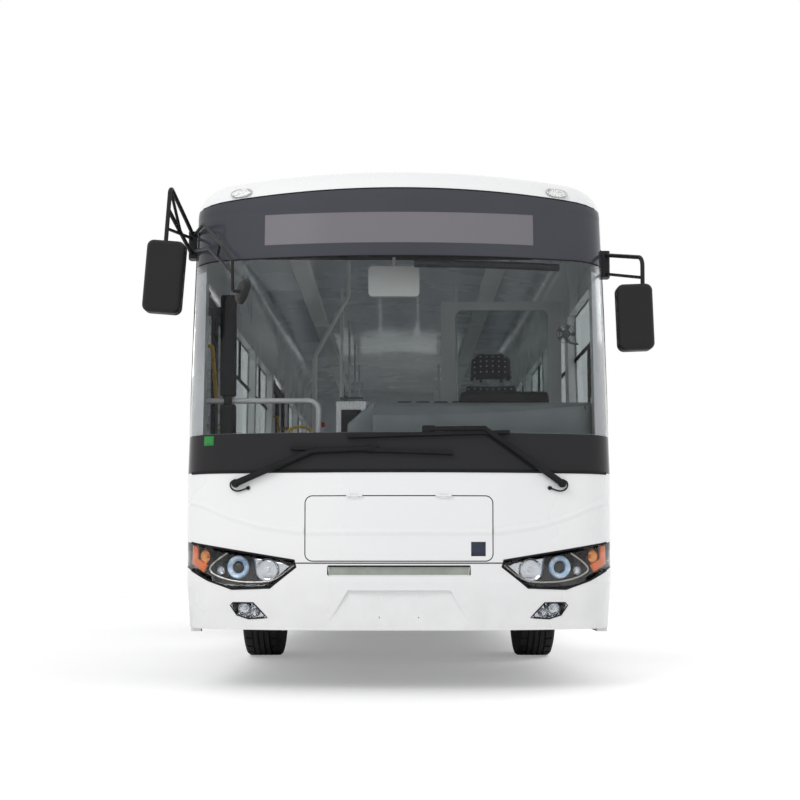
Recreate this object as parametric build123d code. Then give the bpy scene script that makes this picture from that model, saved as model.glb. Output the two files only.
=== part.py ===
"""Electric city bus, ten and a half metres long: body, doors, running gear and cabin.

Millimetres. Z is up, the front faces -Y, the passenger doors are on the -X side.
The origin lies on the ground in the middle of the bounding box.
"""
import os
from math import atan2, cos, pi, radians, sin, sqrt

from build123d import *

os.makedirs("parts", exist_ok=True)

# Overall sizes
BODY_LENGTH = 10490.0
HALF_WIDTH = 1250.0
MIRROR_LEAD = 300.0
FRONT_Y = -(BODY_LENGTH + MIRROR_LEAD) / 2 + MIRROR_LEAD
REAR_Y = FRONT_Y + BODY_LENGTH
SKIRT_Z = 320.0
BUMPER_Z = 350.0
TUCK_Z = 620.0
SEAM_Z = 727.0
WAIST_Z = 1245.0
SILL_TOP_Z = 1000.0
DOOR_HEAD_Z = 2440.0
HEADER_Z = 2490.0
HEADER_TOP_Z = 2895.0
SHOULDER_Z = 2770.0
CREST_Z = 3035.0

# Curves of the body in plan and section
FRONT_R = 4000.0
CORNER_R = 300.0
REAR_R = 240.0
RAKE = 135.0
LEAN = 24.0
TUCK = 18.0
CROWN_R = 11000.0
ROOF_EDGE_R = 200.0
WALL_T = 60.0
GLASS_T = 8.0
FIT = 0.3

# Joints between the body panels, as distances behind the front
FRONT_JOINT = 430.0
CAP_JOINT = 900.0
REAR_JOINT = BODY_LENGTH - 260.0

# Wheels and axles
FRONT_AXLE = 2570.0
REAR_AXLE = 7570.0
FRONT_TRACK = 2020.0
REAR_TRACK = 1860.0
TWIN_SPACING = 311.0
TYRE_R = 478.5
TYRE_W = 276.0
RIM_R = 285.75
ARCH_R = 562.0
KINGPIN_X = 905.0
PIN_R = 22.0
STUB_R = 45.0
BEARING_GAP = 0.05

# Floor
FLOOR_Z = 740.0
FLOOR_T = 50.0
PLATFORM_Z = 860.0
TREAD_Z = 365.0
STEP_Z = 552.0
AISLE_X = 390.0
PLATE_T = 15.0
DECK_Z = 1160.0
DECK_FRONT = 9350.0
RAIL_X = 350.0
RAIL_W = 60.0
RAIL_H = 90.0

# Passenger doors
FRONT_DOOR = (470.0, 1740.0)
MIDDLE_DOOR = (4620.0, 6000.0)
LEAF_X = 1206.0
LEAF_T = 32.0
LEAF_Z = (402.0, 2393.0)
POST_SETBACK = 35.0
JAMB_GAP = 70.0
MEETING_GAP = 10.0
POST_R = 20.0
ARM_Z = ((374.0, 394.0), (2401.0, 2421.0))
ARM_W = 36.0
STEP_CLEARANCE = 11.0

# Side windows: first and last distance behind the front, bottom and top
LEFT_WINDOWS = (
    (620, 1640, 1330, 2410), (1800, 3090, 1400, 2400), (3200, 4490, 1400, 2400), (4600, 5890, 1400, 2400),
    (6000, 7290, 1400, 2400), (7400, 8690, 1400, 2400), (8800, 10090, 1400, 2400),
)
RIGHT_WINDOWS = (
    (1900, 3150, 1400, 2400), (3260, 4510, 1400, 2400), (6110, 7360, 1400, 2400), (7470, 8720, 1400, 2400),
    (8830, 10090, 1400, 2400),
)
WINDOW_R = 60.0

pieces = {}


def at(depth):
    """Y of a plane a given distance behind the front."""
    return FRONT_Y + depth


def keep(name, *shapes):
    """File one node's solids under its name."""
    solids = []
    for shape in shapes:
        solids.extend(shape.solids())
    pieces[name] = solids[0] if len(solids) == 1 else Compound(children=solids)


def box(x0, x1, y0, y1, z0, z1):
    """Box between six planes."""
    return Pos((x0 + x1) / 2, (y0 + y1) / 2, (z0 + z1) / 2) * Box(abs(x1 - x0), abs(y1 - y0), abs(z1 - z0))


def cylinder(start, end, radius):
    """Round bar between two points."""
    a = Vector(*start)
    b = Vector(*end)
    return Solid.make_cylinder(radius, (b - a).length, Plane(origin=a, z_dir=b - a))


def tube_run(points, radius, bend=60.0):
    """Bent round bar through a list of points."""
    path = FilletPolyline(*points, radius=bend) if len(points) > 2 else Line(*points)
    start = Plane(origin=path @ 0, z_dir=path % 0)
    return sweep(start * Circle(radius), path=path)


def prism(points, plane, start, end, radius=0.0):
    """Prism of a polygon: plane 'y' takes (x, z) points, plane 'x' takes (y, z), plane 'z' takes (x, y)."""
    if plane == "y":
        corners = [(p[0], start, p[1]) for p in points]
        direction = (0, end - start, 0)
    elif plane == "x":
        corners = [(start, p[0], p[1]) for p in points]
        direction = (end - start, 0, 0)
    else:
        corners = [(p[0], p[1], start) for p in points]
        direction = (0, 0, end - start)
    solid = Solid.extrude(Face(Wire.make_polygon(corners, close=True)), Vector(*direction))
    if radius > 0:
        along = {"x": Axis.X, "y": Axis.Y, "z": Axis.Z}[plane]
        solid = fillet(solid.edges().filter_by(along), radius)
    return solid


def rect(a0, a1, b0, b1):
    """Corner points of a rectangle."""
    return [(a0, b0), (a1, b0), (a1, b1), (a0, b1)]


def mirrored(shape):
    """The same shape on the other side of the bus."""
    return shape.mirror(Plane.YZ)


# Outer skin

def tuck_at(z):
    """How far the foot of the body is drawn in at a height."""
    return TUCK * max(0.0, TUCK_Z - z) / (TUCK_Z - BUMPER_Z)


def lean_at(z):
    """How far the side has leaned in at a height."""
    return tuck_at(z) + LEAN * max(0.0, z - WAIST_Z) / (SHOULDER_Z - WAIST_Z)


def rake_at(z):
    """How far the front has leaned back at a height."""
    return tuck_at(z) + RAKE * max(0.0, z - WAIST_Z) / (HEADER_TOP_Z - WAIST_Z)


def plan_wire(z, inset):
    """Outline of the body seen from above at one height, moved in by a distance."""
    half = HALF_WIDTH - lean_at(z) - inset
    front = FRONT_Y + rake_at(z) + inset
    rear = REAR_Y - inset
    big = FRONT_R - inset
    small = CORNER_R - inset
    back = REAR_R - inset
    centre_y = front + big
    corner_y = centre_y - sqrt((big - small) ** 2 - (half - small) ** 2)
    touch_x = (half - small) * big / (big - small)
    touch_y = centre_y - (centre_y - corner_y) * big / (big - small)
    turn = atan2(touch_y - corner_y, touch_x - (half - small)) / 2
    mid_x = half - small + small * cos(turn)
    mid_y = corner_y + small * sin(turn)
    rear_x = half - back
    rear_y = rear - back
    knee = back * cos(pi / 4)
    edges = [
        Edge.make_line((half, corner_y, z), (half, rear_y, z)),
        Edge.make_three_point_arc((half, rear_y, z), (rear_x + knee, rear_y + knee, z), (rear_x, rear, z)),
        Edge.make_line((rear_x, rear, z), (-rear_x, rear, z)),
        Edge.make_three_point_arc((-rear_x, rear, z), (-rear_x - knee, rear_y + knee, z), (-half, rear_y, z)),
        Edge.make_line((-half, rear_y, z), (-half, corner_y, z)),
        Edge.make_three_point_arc((-half, corner_y, z), (-mid_x, mid_y, z), (-touch_x, touch_y, z)),
        Edge.make_three_point_arc((-touch_x, touch_y, z), (0, front, z), (touch_x, touch_y, z)),
        Edge.make_three_point_arc((touch_x, touch_y, z), (mid_x, mid_y, z), (half, corner_y, z)),
    ]
    return Wire(edges)


def crown_block(base, crest):
    """Block below a crowned surface of the roof's curvature, over the whole bus."""
    reach = HALF_WIDTH + 50
    drop = CROWN_R - sqrt(CROWN_R ** 2 - reach ** 2)
    start = FRONT_Y - 100
    arch = Wire([
        Edge.make_line((-reach, start, base), (reach, start, base)),
        Edge.make_line((reach, start, base), (reach, start, crest - drop)),
        Edge.make_three_point_arc((reach, start, crest - drop), (0, start, crest), (-reach, start, crest - drop)),
        Edge.make_line((-reach, start, crest - drop), (-reach, start, base)),
    ])
    return Solid.extrude(Face(arch), Vector(0, BODY_LENGTH + 200, 0))


def envelope(inset):
    """The body as one solid, moved in by a distance; a negative distance moves it out."""
    bottom = SKIRT_Z - (40.0 if inset > 0 else 0.0)
    levels = [bottom, TUCK_Z, WAIST_Z, SHOULDER_Z]
    lower = Solid.make_loft([plan_wire(z, inset) for z in levels], ruled=True)
    upper = Solid.extrude(Face(plan_wire(SHOULDER_Z, inset)), Vector(0, 0, CREST_Z - SHOULDER_Z + 50))
    upper = (upper & crown_block(SHOULDER_Z - 10, CREST_Z - inset)).solids()[0]
    top = upper.faces().sort_by(Axis.Z)[-1]
    upper = fillet(top.edges(), ROOF_EDGE_R - inset)
    return (lower + upper).solids()[0]


skin = envelope(0)
core = envelope(WALL_T)
shell = skin - core
glass_shell = skin - envelope(GLASS_T)
pane_shell = envelope(3) - envelope(3 + GLASS_T)
FAR = 6000.0


def zone(depth0, depth1, z0, z1, x0=-FAR, x1=FAR):
    """Block between two distances behind the front and two heights."""
    return box(x0, x1, at(depth0), at(depth1), z0, z1)


# Front of the body
bumper = shell & zone(-500, FRONT_JOINT, BUMPER_Z, SEAM_Z)
mask = shell & zone(-500, FRONT_JOINT, SEAM_Z, WAIST_Z)
screen = glass_shell & zone(-500, FRONT_JOINT, WAIST_Z, HEADER_Z)
header_room = crown_block(HEADER_Z, HEADER_TOP_Z)
cap_room = zone(-500, CAP_JOINT, HEADER_Z, FAR) - header_room
header = glass_shell & zone(-500, FRONT_JOINT, HEADER_Z, FAR) & header_room
cap = shell & cap_room

LAMP_OUTLINE = (
    (1262, 852, 0), (589, 742, 10), (580, 705, 14), (728, 588, 45), (955, 580, 120), (1095, 628, 150), (1262, 712, 0),
)
FOG_OUTLINE = ((957, 500, 14), (825, 500, 14), (745, 420, 9), (852, 414, 45), (920, 434, 30))
LAMP_BACK = 415.0
LAMP_T = 45.0
FOG_BACK = 300.0


def rounded_cut(outline, depth):
    """Cutter through the front from (x, z, corner radius) points."""
    face = Face(Wire.make_polygon([(x, at(-100), z) for x, z, _ in outline], close=True))
    for x, z, radius in outline:
        if radius:
            corner = face.vertices().sort_by_distance((x, at(-100), z))[0]
            face = face.fillet_2d(radius, [corner])
    return Solid.extrude(face, Vector(0, depth + 100, 0))


lamp_cut = rounded_cut(LAMP_OUTLINE, LAMP_BACK)
fog_cut = rounded_cut(FOG_OUTLINE, FOG_BACK)
lamp_shell = envelope(2) - envelope(LAMP_T)
front_lamps = []
for flip in (False, True):
    lamp_hole = mirrored(lamp_cut) if flip else lamp_cut
    fog_hole = mirrored(fog_cut) if flip else fog_cut
    mask = mask - lamp_hole
    bumper = bumper - lamp_hole - fog_hole
    front_lamps.append(lamp_shell & lamp_hole)
    front_lamps.append(lamp_shell & fog_hole)

SLOT_HALF = 403.0
SLOT_Z = (654.0, 716.0)
SLOT_DEPTH = 40.0
RECESS = ((-287, 575), (287, 575), (427, 340), (-427, 340))
RECESS_Y = 34.0
PLATE_PITCH_X = 220.0
PLATE_PITCH_Z = 110.0
PLATE_CENTRE_Z = 478.0
PLATE_HOLE_R = 3.5
bumper = bumper - prism(rect(-SLOT_HALF, SLOT_HALF, *SLOT_Z), "y", at(-100), at(SLOT_DEPTH), 12)
bumper = bumper - prism(RECESS, "y", at(-100), at(RECESS_Y))
for side_x in (-1, 1):
    for side_z in (-1, 1):
        hole_x = side_x * PLATE_PITCH_X / 2
        hole_z = PLATE_CENTRE_Z + side_z * PLATE_PITCH_Z / 2
        bumper = bumper - cylinder((hole_x, at(-50), hole_z), (hole_x, at(200), hole_z), PLATE_HOLE_R)

HATCH_HALF = 532.0
HATCH_Z = (735.0, 1108.0)
HATCH_R = 45.0
HATCH_GAP = 6.0
HATCH_T = 40.0
hatch_hole = prism(rect(-HATCH_HALF, HATCH_HALF, *HATCH_Z), "y", at(-100), at(250), HATCH_R)
hatch_form = prism(
    rect(-HATCH_HALF + HATCH_GAP, HATCH_HALF - HATCH_GAP, HATCH_Z[0] + HATCH_GAP, HATCH_Z[1] - HATCH_GAP),
    "y", at(-100), at(250), HATCH_R - HATCH_GAP)
mask = mask - hatch_hole
hatch = (skin - envelope(HATCH_T)) & hatch_form
HINGE_R = 6.0
HINGE_PIN_R = 3.0
HINGE_WEB = 12.0
HINGE_REACH = 45.0


def lid_hinge(x, y, z, inward):
    """Barrel hinge along X: the fixed knuckles with their pin, and the moving knuckle."""
    end = y + inward * HINGE_REACH
    fixed = cylinder((x - 40, y, z), (x + 40, y, z), HINGE_PIN_R)
    for a, b in ((x - 45, x - 20.5), (x + 20.5, x + 45)):
        fixed = fixed + cylinder((a, y, z), (b, y, z), HINGE_R)
        fixed = fixed + box(a, b, *sorted((y, end)), z, z + HINGE_WEB)
    moving = cylinder((x - 20, y, z), (x + 20, y, z), HINGE_R)
    moving = moving + box(x - 20, x + 20, *sorted((y, end)), z - HINGE_WEB, z)
    moving = moving - cylinder((x - 30, y, z), (x + 30, y, z), HINGE_PIN_R + BEARING_GAP)
    return fixed, moving


for hinge_x in (-250, 250):
    fixed, moving = lid_hinge(hinge_x, at(-3), HATCH_Z[1] - HATCH_GAP / 2, 1)
    mask = mask + fixed
    hatch = hatch + moving

MARKER_X = 928.0
MARKER_Z = 2896.0
MARKER_TILT = 5.0
for side in (-1, 1):
    lens = Pos(side * MARKER_X, at(250), MARKER_Z) * Rot(0, side * MARKER_TILT, 0)
    lens = lens * Rot(90, 0, 0) * extrude(Ellipse(62, 28), 130)
    front_lamps.append((lens & envelope(-18)) - envelope(-FIT))

keep("front_mask", mask)
keep("front_bumper", bumper)
keep("front_header", cap)
keep("windscreen", screen)
keep("header_glass", header)
keep("front_hatch", hatch)
keep("front_lamps", *front_lamps)

# Sides, roof and rear
front_arch = cylinder((-FAR, at(FRONT_AXLE), TYRE_R), (FAR, at(FRONT_AXLE), TYRE_R), ARCH_R)
rear_arch = cylinder((-FAR, at(REAR_AXLE), TYRE_R), (FAR, at(REAR_AXLE), TYRE_R), ARCH_R)


def window_form(window, x0, x1, grow=0.0):
    """Prism of one side window, a little larger or smaller."""
    d0, d1, z0, z1 = window
    outline = rect(at(d0) - grow, at(d1) + grow, z0 - grow, z1 + grow)
    return prism(outline, "x", x0, x1, WINDOW_R + grow)


PILLAR_X = 1135.0
PILLAR_INSET = 12.0
PILLAR_T = 60.0
pillar_shell = envelope(PILLAR_INSET) - envelope(PILLAR_INSET + PILLAR_T)
left_pillar = pillar_shell & zone(0, FRONT_JOINT, WAIST_Z, DOOR_HEAD_Z, PILLAR_X, FAR)
left_wall = shell & zone(FRONT_JOINT, REAR_JOINT, SILL_TOP_Z, DOOR_HEAD_Z, 0, FAR)
left_wall = left_wall + left_pillar
left_wall = left_wall - front_arch - rear_arch
for window in LEFT_WINDOWS:
    left_wall = left_wall - window_form(window, 900, 1400)
keep("left_wall", left_wall)

right_side = shell & zone(FRONT_JOINT, REAR_JOINT, SKIRT_Z, DOOR_HEAD_Z, -FAR, 0)
right_panels = []
door_post = right_side & zone(FRONT_JOINT, FRONT_DOOR[0], SKIRT_Z, DOOR_HEAD_Z)
right_panels.append(door_post + mirrored(left_pillar))
right_panels.append(right_side & zone(FRONT_DOOR[1], MIDDLE_DOOR[0], SILL_TOP_Z, DOOR_HEAD_Z))
right_panels.append(right_side & zone(MIDDLE_DOOR[1], REAR_JOINT, SILL_TOP_Z, DOOR_HEAD_Z))
right_panels = [panel - front_arch - rear_arch for panel in right_panels]
for window in RIGHT_WINDOWS:
    hole = window_form(window, -1400, -900)
    middle = (window[0] + window[1]) / 2
    index = 1 if middle < MIDDLE_DOOR[0] else 2
    right_panels[index] = right_panels[index] - hole
keep("right_wall", *right_panels)

left_skirt = shell & zone(FRONT_JOINT, REAR_JOINT, SKIRT_Z, SILL_TOP_Z, 0, FAR)
left_skirt = left_skirt - front_arch - rear_arch
right_skirt = right_side & zone(FRONT_DOOR[0], REAR_JOINT, SKIRT_Z, SILL_TOP_Z)
right_skirt = right_skirt - front_arch - rear_arch
for doorway in (FRONT_DOOR, MIDDLE_DOOR):
    right_skirt = right_skirt - zone(*doorway, SKIRT_Z, SILL_TOP_Z)
keep("skirts", left_skirt, right_skirt)

roof = shell & zone(FRONT_JOINT, REAR_JOINT, DOOR_HEAD_Z, FAR)
roof = roof - cap_room
keep("roof", roof)

REAR_WINDOW = (950.0, 1560.0, 2380.0)
MOTOR_DOOR_HALF = 880.0
MOTOR_DOOR_Z = (480.0, 1180.0)
MOTOR_DOOR_T = 40.0
rear_wall = shell & zone(REAR_JOINT, BODY_LENGTH + 100, SKIRT_Z, FAR)
rear_pane_form = prism(rect(-REAR_WINDOW[0], REAR_WINDOW[0], *REAR_WINDOW[1:]), "y", at(BODY_LENGTH - 100),
                       at(BODY_LENGTH + 50), 90)
motor_hole = prism(rect(-MOTOR_DOOR_HALF, MOTOR_DOOR_HALF, *MOTOR_DOOR_Z), "y", at(BODY_LENGTH - 100),
                   at(BODY_LENGTH + 50), 40)
motor_form = prism(
    rect(-MOTOR_DOOR_HALF + HATCH_GAP, MOTOR_DOOR_HALF - HATCH_GAP,
         MOTOR_DOOR_Z[0] + HATCH_GAP, MOTOR_DOOR_Z[1] - HATCH_GAP),
    "y", at(BODY_LENGTH - 100), at(BODY_LENGTH + 50), 40 - HATCH_GAP)
REAR_LAMP = (1035.0, 1190.0, 620.0, 1120.0)
REAR_TOP_LAMP = (1035.0, 1150.0, 2500.0, 2570.0)
rear_lamps = []
rear_lamp_shell = envelope(2) - envelope(LAMP_T)
rear_wall = rear_wall - rear_pane_form - motor_hole
for outline in (REAR_LAMP, REAR_TOP_LAMP):
    lamp_form = prism(rect(*outline), "y", at(BODY_LENGTH - 140), at(BODY_LENGTH + 50), 25)
    for flip in (False, True):
        lamp_hole = mirrored(lamp_form) if flip else lamp_form
        rear_wall = rear_wall - lamp_hole
        rear_lamps.append(rear_lamp_shell & lamp_hole)
keep("rear_lamps", *rear_lamps)
motor_door = (skin - envelope(MOTOR_DOOR_T)) & motor_form
for hinge_x in (-500, 500):
    fixed, moving = lid_hinge(hinge_x, at(BODY_LENGTH + 7), MOTOR_DOOR_Z[1] - HATCH_GAP / 2, -1)
    rear_wall = rear_wall + fixed
    motor_door = motor_door + moving
keep("rear_wall", rear_wall)
keep("motor_door", motor_door)

panes = [pane_shell & window_form(window, 900, 1400, -FIT) for window in LEFT_WINDOWS]
panes += [pane_shell & window_form(window, -1400, -900, -FIT) for window in RIGHT_WINDOWS]
rear_pane = prism(rect(-REAR_WINDOW[0] + FIT, REAR_WINDOW[0] - FIT, REAR_WINDOW[1] + FIT, REAR_WINDOW[2] - FIT),
                  "y", at(BODY_LENGTH - 100), at(BODY_LENGTH + 50), 90 - FIT)
panes.append(pane_shell & rear_pane)
keep("windows", *panes)

# Roof equipment
seat_for_roof_units = envelope(-FIT)
AC_UNIT = (820.0, 3600.0, 6300.0, 3225.0)
BATTERY_POD = (880.0, 6700.0, 9700.0, 3200.0)


def roof_box(half, depth0, depth1, top):
    """Housing with rounded edges seated on the curved roof."""
    body = box(-half, half, at(depth0), at(depth1), CREST_Z - 140, top)
    body = fillet(body.edges().filter_by(Axis.Z), 140)
    body = fillet(body.faces().sort_by(Axis.Z)[-1].edges(), 60)
    return body - seat_for_roof_units


keep("roof_units", roof_box(*AC_UNIT), roof_box(*BATTERY_POD))

# Floor, steps and wheel boxes
WELL_GAP = 0.5
WHEEL_BOX_HALF = 600.0
FRONT_BOX_X = 530.0
REAR_BOX_X = 580.0
BOX_TOP_Z = 1075.0
inner_x = HALF_WIDTH - WALL_T - WELL_GAP
floor_room = Pos(0, 0, FLOOR_Z - FLOOR_T - WAIST_Z) * Solid.extrude(
    Face(plan_wire(WAIST_Z, WALL_T + WELL_GAP)), Vector(0, 0, FLOOR_T))
inner_room = envelope(WALL_T + WELL_GAP)
wheel_boxes = []
for axle, box_x in ((FRONT_AXLE, FRONT_BOX_X), (REAR_AXLE, REAR_BOX_X)):
    for side in (-1, 1):
        d0 = axle - WHEEL_BOX_HALF
        d1 = axle + WHEEL_BOX_HALF
        outer = zone(d0, d1, FLOOR_Z - FLOOR_T, BOX_TOP_Z, side * box_x, side * inner_x)
        hollow = zone(d0 + PLATE_T, d1 - PLATE_T, 0, BOX_TOP_Z - PLATE_T, side * (box_x + PLATE_T), side * FAR)
        wheel_boxes.append(outer - hollow)

# Floor panels between the doorways and the wheel boxes: start, end, reach to the right and to the left
FLOOR_PANELS = (
    (0.0, FRONT_DOOR[0], inner_x, inner_x),
    (FRONT_DOOR[0], FRONT_DOOR[1], AISLE_X, inner_x),
    (FRONT_DOOR[1], FRONT_AXLE - WHEEL_BOX_HALF, inner_x, inner_x),
    (FRONT_AXLE - WHEEL_BOX_HALF, FRONT_AXLE + WHEEL_BOX_HALF, FRONT_BOX_X - FIT, FRONT_BOX_X - FIT),
    (FRONT_AXLE + WHEEL_BOX_HALF, MIDDLE_DOOR[0], inner_x, inner_x),
    (MIDDLE_DOOR[0], MIDDLE_DOOR[1], AISLE_X, inner_x),
    (MIDDLE_DOOR[1], REAR_AXLE - WHEEL_BOX_HALF, inner_x, inner_x),
    (REAR_AXLE - WHEEL_BOX_HALF, REAR_AXLE + WHEEL_BOX_HALF, REAR_BOX_X - FIT, REAR_BOX_X - FIT),
    (REAR_AXLE + WHEEL_BOX_HALF, DECK_FRONT + PLATE_T, inner_x, inner_x),
)
floor = []
for d0, d1, right_reach, left_reach in FLOOR_PANELS:
    panel = zone(d0 + FIT / 2, d1 - FIT / 2, FLOOR_Z - FLOOR_T, FLOOR_Z, -right_reach, left_reach)
    floor.append(panel & floor_room)
DECK_T = 40.0
floor.append(zone(DECK_FRONT, DECK_FRONT + PLATE_T, FLOOR_Z + FIT, DECK_Z - DECK_T - FIT, -inner_x, inner_x))
floor.append(zone(DECK_FRONT, BODY_LENGTH, DECK_Z - DECK_T, DECK_Z) & inner_room)
PLATFORM = (440.0, 1780.0, 160.0)
floor.append(zone(PLATFORM[0], PLATFORM[1], FLOOR_Z + FIT, PLATFORM_Z, PLATFORM[2], FAR) & inner_room)
keep("floor", *floor)
keep("wheel_boxes", *wheel_boxes)


def leaf_width(doorway):
    """Width of each of the two leaves of a doorway."""
    return (doorway[1] - doorway[0] - MEETING_GAP) / 2 - JAMB_GAP


def step_well(doorway):
    """Plates of one entrance: tread, riser, step, upper riser and two sides."""
    d0, d1 = doorway
    step_x = LEAF_X - leaf_width(doorway) - POST_SETBACK - STEP_CLEARANCE
    run = (d0 + FIT, d1 - FIT)
    plates = [
        zone(*run, TREAD_Z - PLATE_T, TREAD_Z, -inner_x, -step_x - FIT),
        zone(*run, TREAD_Z - PLATE_T, STEP_Z - PLATE_T - FIT, -step_x, -step_x + PLATE_T),
        zone(*run, STEP_Z - PLATE_T, STEP_Z, -step_x, -AISLE_X - PLATE_T - FIT),
        zone(*run, STEP_Z - PLATE_T, FLOOR_Z, -AISLE_X - PLATE_T, -AISLE_X - FIT),
    ]
    profile = (
        (-inner_x, TREAD_Z - PLATE_T), (-step_x + PLATE_T, TREAD_Z - PLATE_T), (-step_x + PLATE_T, STEP_Z - PLATE_T),
        (-AISLE_X, STEP_Z - PLATE_T), (-AISLE_X, FLOOR_Z - FLOOR_T - FIT), (-inner_x, FLOOR_Z - FLOOR_T - FIT),
    )
    for start, end in ((d0 - PLATE_T, d0), (d1, d1 + PLATE_T)):
        plates.append(prism(profile, "y", at(start), at(end)) & inner_room)
    return plates


keep("step_wells", *step_well(FRONT_DOOR), *step_well(MIDDLE_DOOR))

# Underframe: two long rails, members across them and a towing bar below their front ends
RAIL_Z = FLOOR_Z - FLOOR_T - RAIL_H
CROSS_H = 40.0
CROSS_W = 60.0
CROSS_Z = RAIL_Z + RAIL_H - CROSS_H
RAIL_ENDS = (150.0, BODY_LENGTH - 90.0)
MEMBER_X = 1180.0
CROSS_REACH = {
    200: (900, 900), 1000: (RAIL_X, MEMBER_X), 1900: (MEMBER_X, MEMBER_X), 3280: (MEMBER_X, MEMBER_X),
    4200: (MEMBER_X, MEMBER_X), 5200: (RAIL_X, MEMBER_X), 6130: (MEMBER_X, MEMBER_X), 6850: (MEMBER_X, MEMBER_X),
    8280: (MEMBER_X, MEMBER_X), 9050: (MEMBER_X, MEMBER_X), 9700: (MEMBER_X, MEMBER_X), 10340: (1100, 1100),
}
frame = []
for side in (-1, 1):
    frame.append(zone(*RAIL_ENDS, RAIL_Z, CROSS_Z - FIT, side * RAIL_X - RAIL_W / 2, side * RAIL_X + RAIL_W / 2))
for depth, (right_reach, left_reach) in CROSS_REACH.items():
    frame.append(zone(depth - CROSS_W / 2, depth + CROSS_W / 2, CROSS_Z, RAIL_Z + RAIL_H, -right_reach, left_reach))
TOW_R = 22.0
TOW_DEPTH = 165.0
TOW_BAR = (125.0, 200.0)
TOW_Z = (470.0, 510.0)
TOW_ARM_W = 40.0
tow_bar = zone(*TOW_BAR, *TOW_Z, -RAIL_X - TOW_ARM_W / 2, RAIL_X + TOW_ARM_W / 2)
for side in (-1, 1):
    tow_bar = tow_bar + zone(TOW_BAR[0], TOW_BAR[1], TOW_Z[0], RAIL_Z - FIT, side * RAIL_X - TOW_ARM_W / 2,
                             side * RAIL_X + TOW_ARM_W / 2)
frame.append(tow_bar - cylinder((0, at(TOW_DEPTH), TOW_Z[0] - 20), (0, at(TOW_DEPTH), TOW_Z[1] + 20), TOW_R))
keep("underframe", *frame)

# Batteries and motor
battery_packs = [
    zone(3340, 6060, 345, FLOOR_Z - FLOOR_T - FIT, 420, 1150),
    zone(6200, 6800, 345, FLOOR_Z - FLOOR_T - FIT, 420, 1150),
    zone(3340, 4150, 345, FLOOR_Z - FLOOR_T - FIT, -1150, -420),
    zone(6200, 6800, 345, FLOOR_Z - FLOOR_T - FIT, -1150, -420),
    zone(9760, 10290, 560, DECK_Z - DECK_T - FIT, -850, 850),
]
MEMBER_GAP = 1.0
packs = []
for pack in battery_packs:
    for depth in CROSS_REACH:
        reach = CROSS_W / 2 + MEMBER_GAP
        pack = pack - zone(depth - reach, depth + reach, CROSS_Z - MEMBER_GAP, FLOOR_Z - FLOOR_T + MEMBER_GAP)
    for side in (-1, 1):
        reach = RAIL_W / 2 + MEMBER_GAP
        pack = pack - zone(0, BODY_LENGTH, RAIL_Z - MEMBER_GAP, CROSS_Z, side * RAIL_X - reach, side * RAIL_X + reach)
    packs.append(pack)
keep("battery_packs", *packs)
MOTOR_R = 200.0
MOTOR_DEPTH = (8340.0, 9000.0)
motor = cylinder((0, at(MOTOR_DEPTH[0]), TYRE_R), (0, at(MOTOR_DEPTH[1]), TYRE_R), MOTOR_R)
for depth in (8420.0, 8900.0):
    motor = motor + zone(depth - 25, depth + 25, TYRE_R + 80, RAIL_Z - FIT, -RAIL_X - 25, RAIL_X + 25)
keep("drive_motor", motor)

# Axles and springs
front_y = at(FRONT_AXLE)
rear_y = at(REAR_AXLE)
BEAM = (
    (-640, 330), (640, 330), (790, 425), (905, 425), (905, 533), (760, 520), (600, 420),
    (-600, 420), (-760, 520), (-905, 533), (-905, 425), (-790, 425),
)
EYE_Z = (419.0, 539.0)
front_axle = prism(BEAM, "y", front_y - 50, front_y + 50)
for side in (-1, 1):
    front_axle = front_axle + cylinder((side * KINGPIN_X, front_y, EYE_Z[0]), (side * KINGPIN_X, front_y, EYE_Z[1]), 48)
for side in (-1, 1):
    bore = cylinder((side * KINGPIN_X, front_y, 300), (side * KINGPIN_X, front_y, 650), PIN_R + BEARING_GAP)
    front_axle = front_axle - bore
keep("front_axle", front_axle)

AXLE_TUBE_R = 92.0
HUB_FACE_X = REAR_TRACK / 2
rear_axle = cylinder((-700, rear_y, TYRE_R), (700, rear_y, TYRE_R), AXLE_TUBE_R)
rear_axle = rear_axle + cylinder((-120, rear_y, TYRE_R), (120, rear_y, TYRE_R), 205)
rear_axle = rear_axle + cylinder((-1040, rear_y, TYRE_R), (1040, rear_y, TYRE_R), STUB_R)
rear_axle = rear_axle + cylinder((0, rear_y + 150, TYRE_R), (0, at(MOTOR_DEPTH[0]) - FIT, TYRE_R), 55)
REAR_SPRING_X = 410.0
SPRING_R = 105.0
for side in (-1, 1):
    low = zone(REAR_AXLE - 560, REAR_AXLE + 560, 385, 430, side * REAR_SPRING_X - 45, side * REAR_SPRING_X + 45)
    rear_axle = rear_axle + low
keep("rear_axle", rear_axle)

springs = []
for side in (-1, 1):
    springs.append(cylinder((side * 420, front_y, 420 + FIT), (side * 420, front_y, RAIL_Z - FIT), SPRING_R))
    for offset in (-440, 440):
        base = (side * REAR_SPRING_X, rear_y + offset, 430 + FIT)
        springs.append(cylinder(base, (base[0], base[1], RAIL_Z - FIT), SPRING_R))
keep("air_springs", *springs)


def knuckle():
    """Left steering knuckle: kingpin, fork and stub axle."""
    x = KINGPIN_X
    body = box(x - 45, x + 90, front_y - 60, front_y + 60, 545, 585)
    body = body + box(x - 45, x + 90, front_y - 60, front_y + 60, 373, 413)
    body = body + box(x + 62, x + 90, front_y - 75, front_y + 75, 373, 585)
    body = body + cylinder((x, front_y, 390), (x, front_y, 560), PIN_R)
    body = body + cylinder((x + 80, front_y, TYRE_R), (x + 215, front_y, TYRE_R), STUB_R)
    return body


keep("left_knuckle", knuckle())
keep("right_knuckle", mirrored(knuckle()))


# Wheels, drawn about the X axis with the outer face on +X

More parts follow.
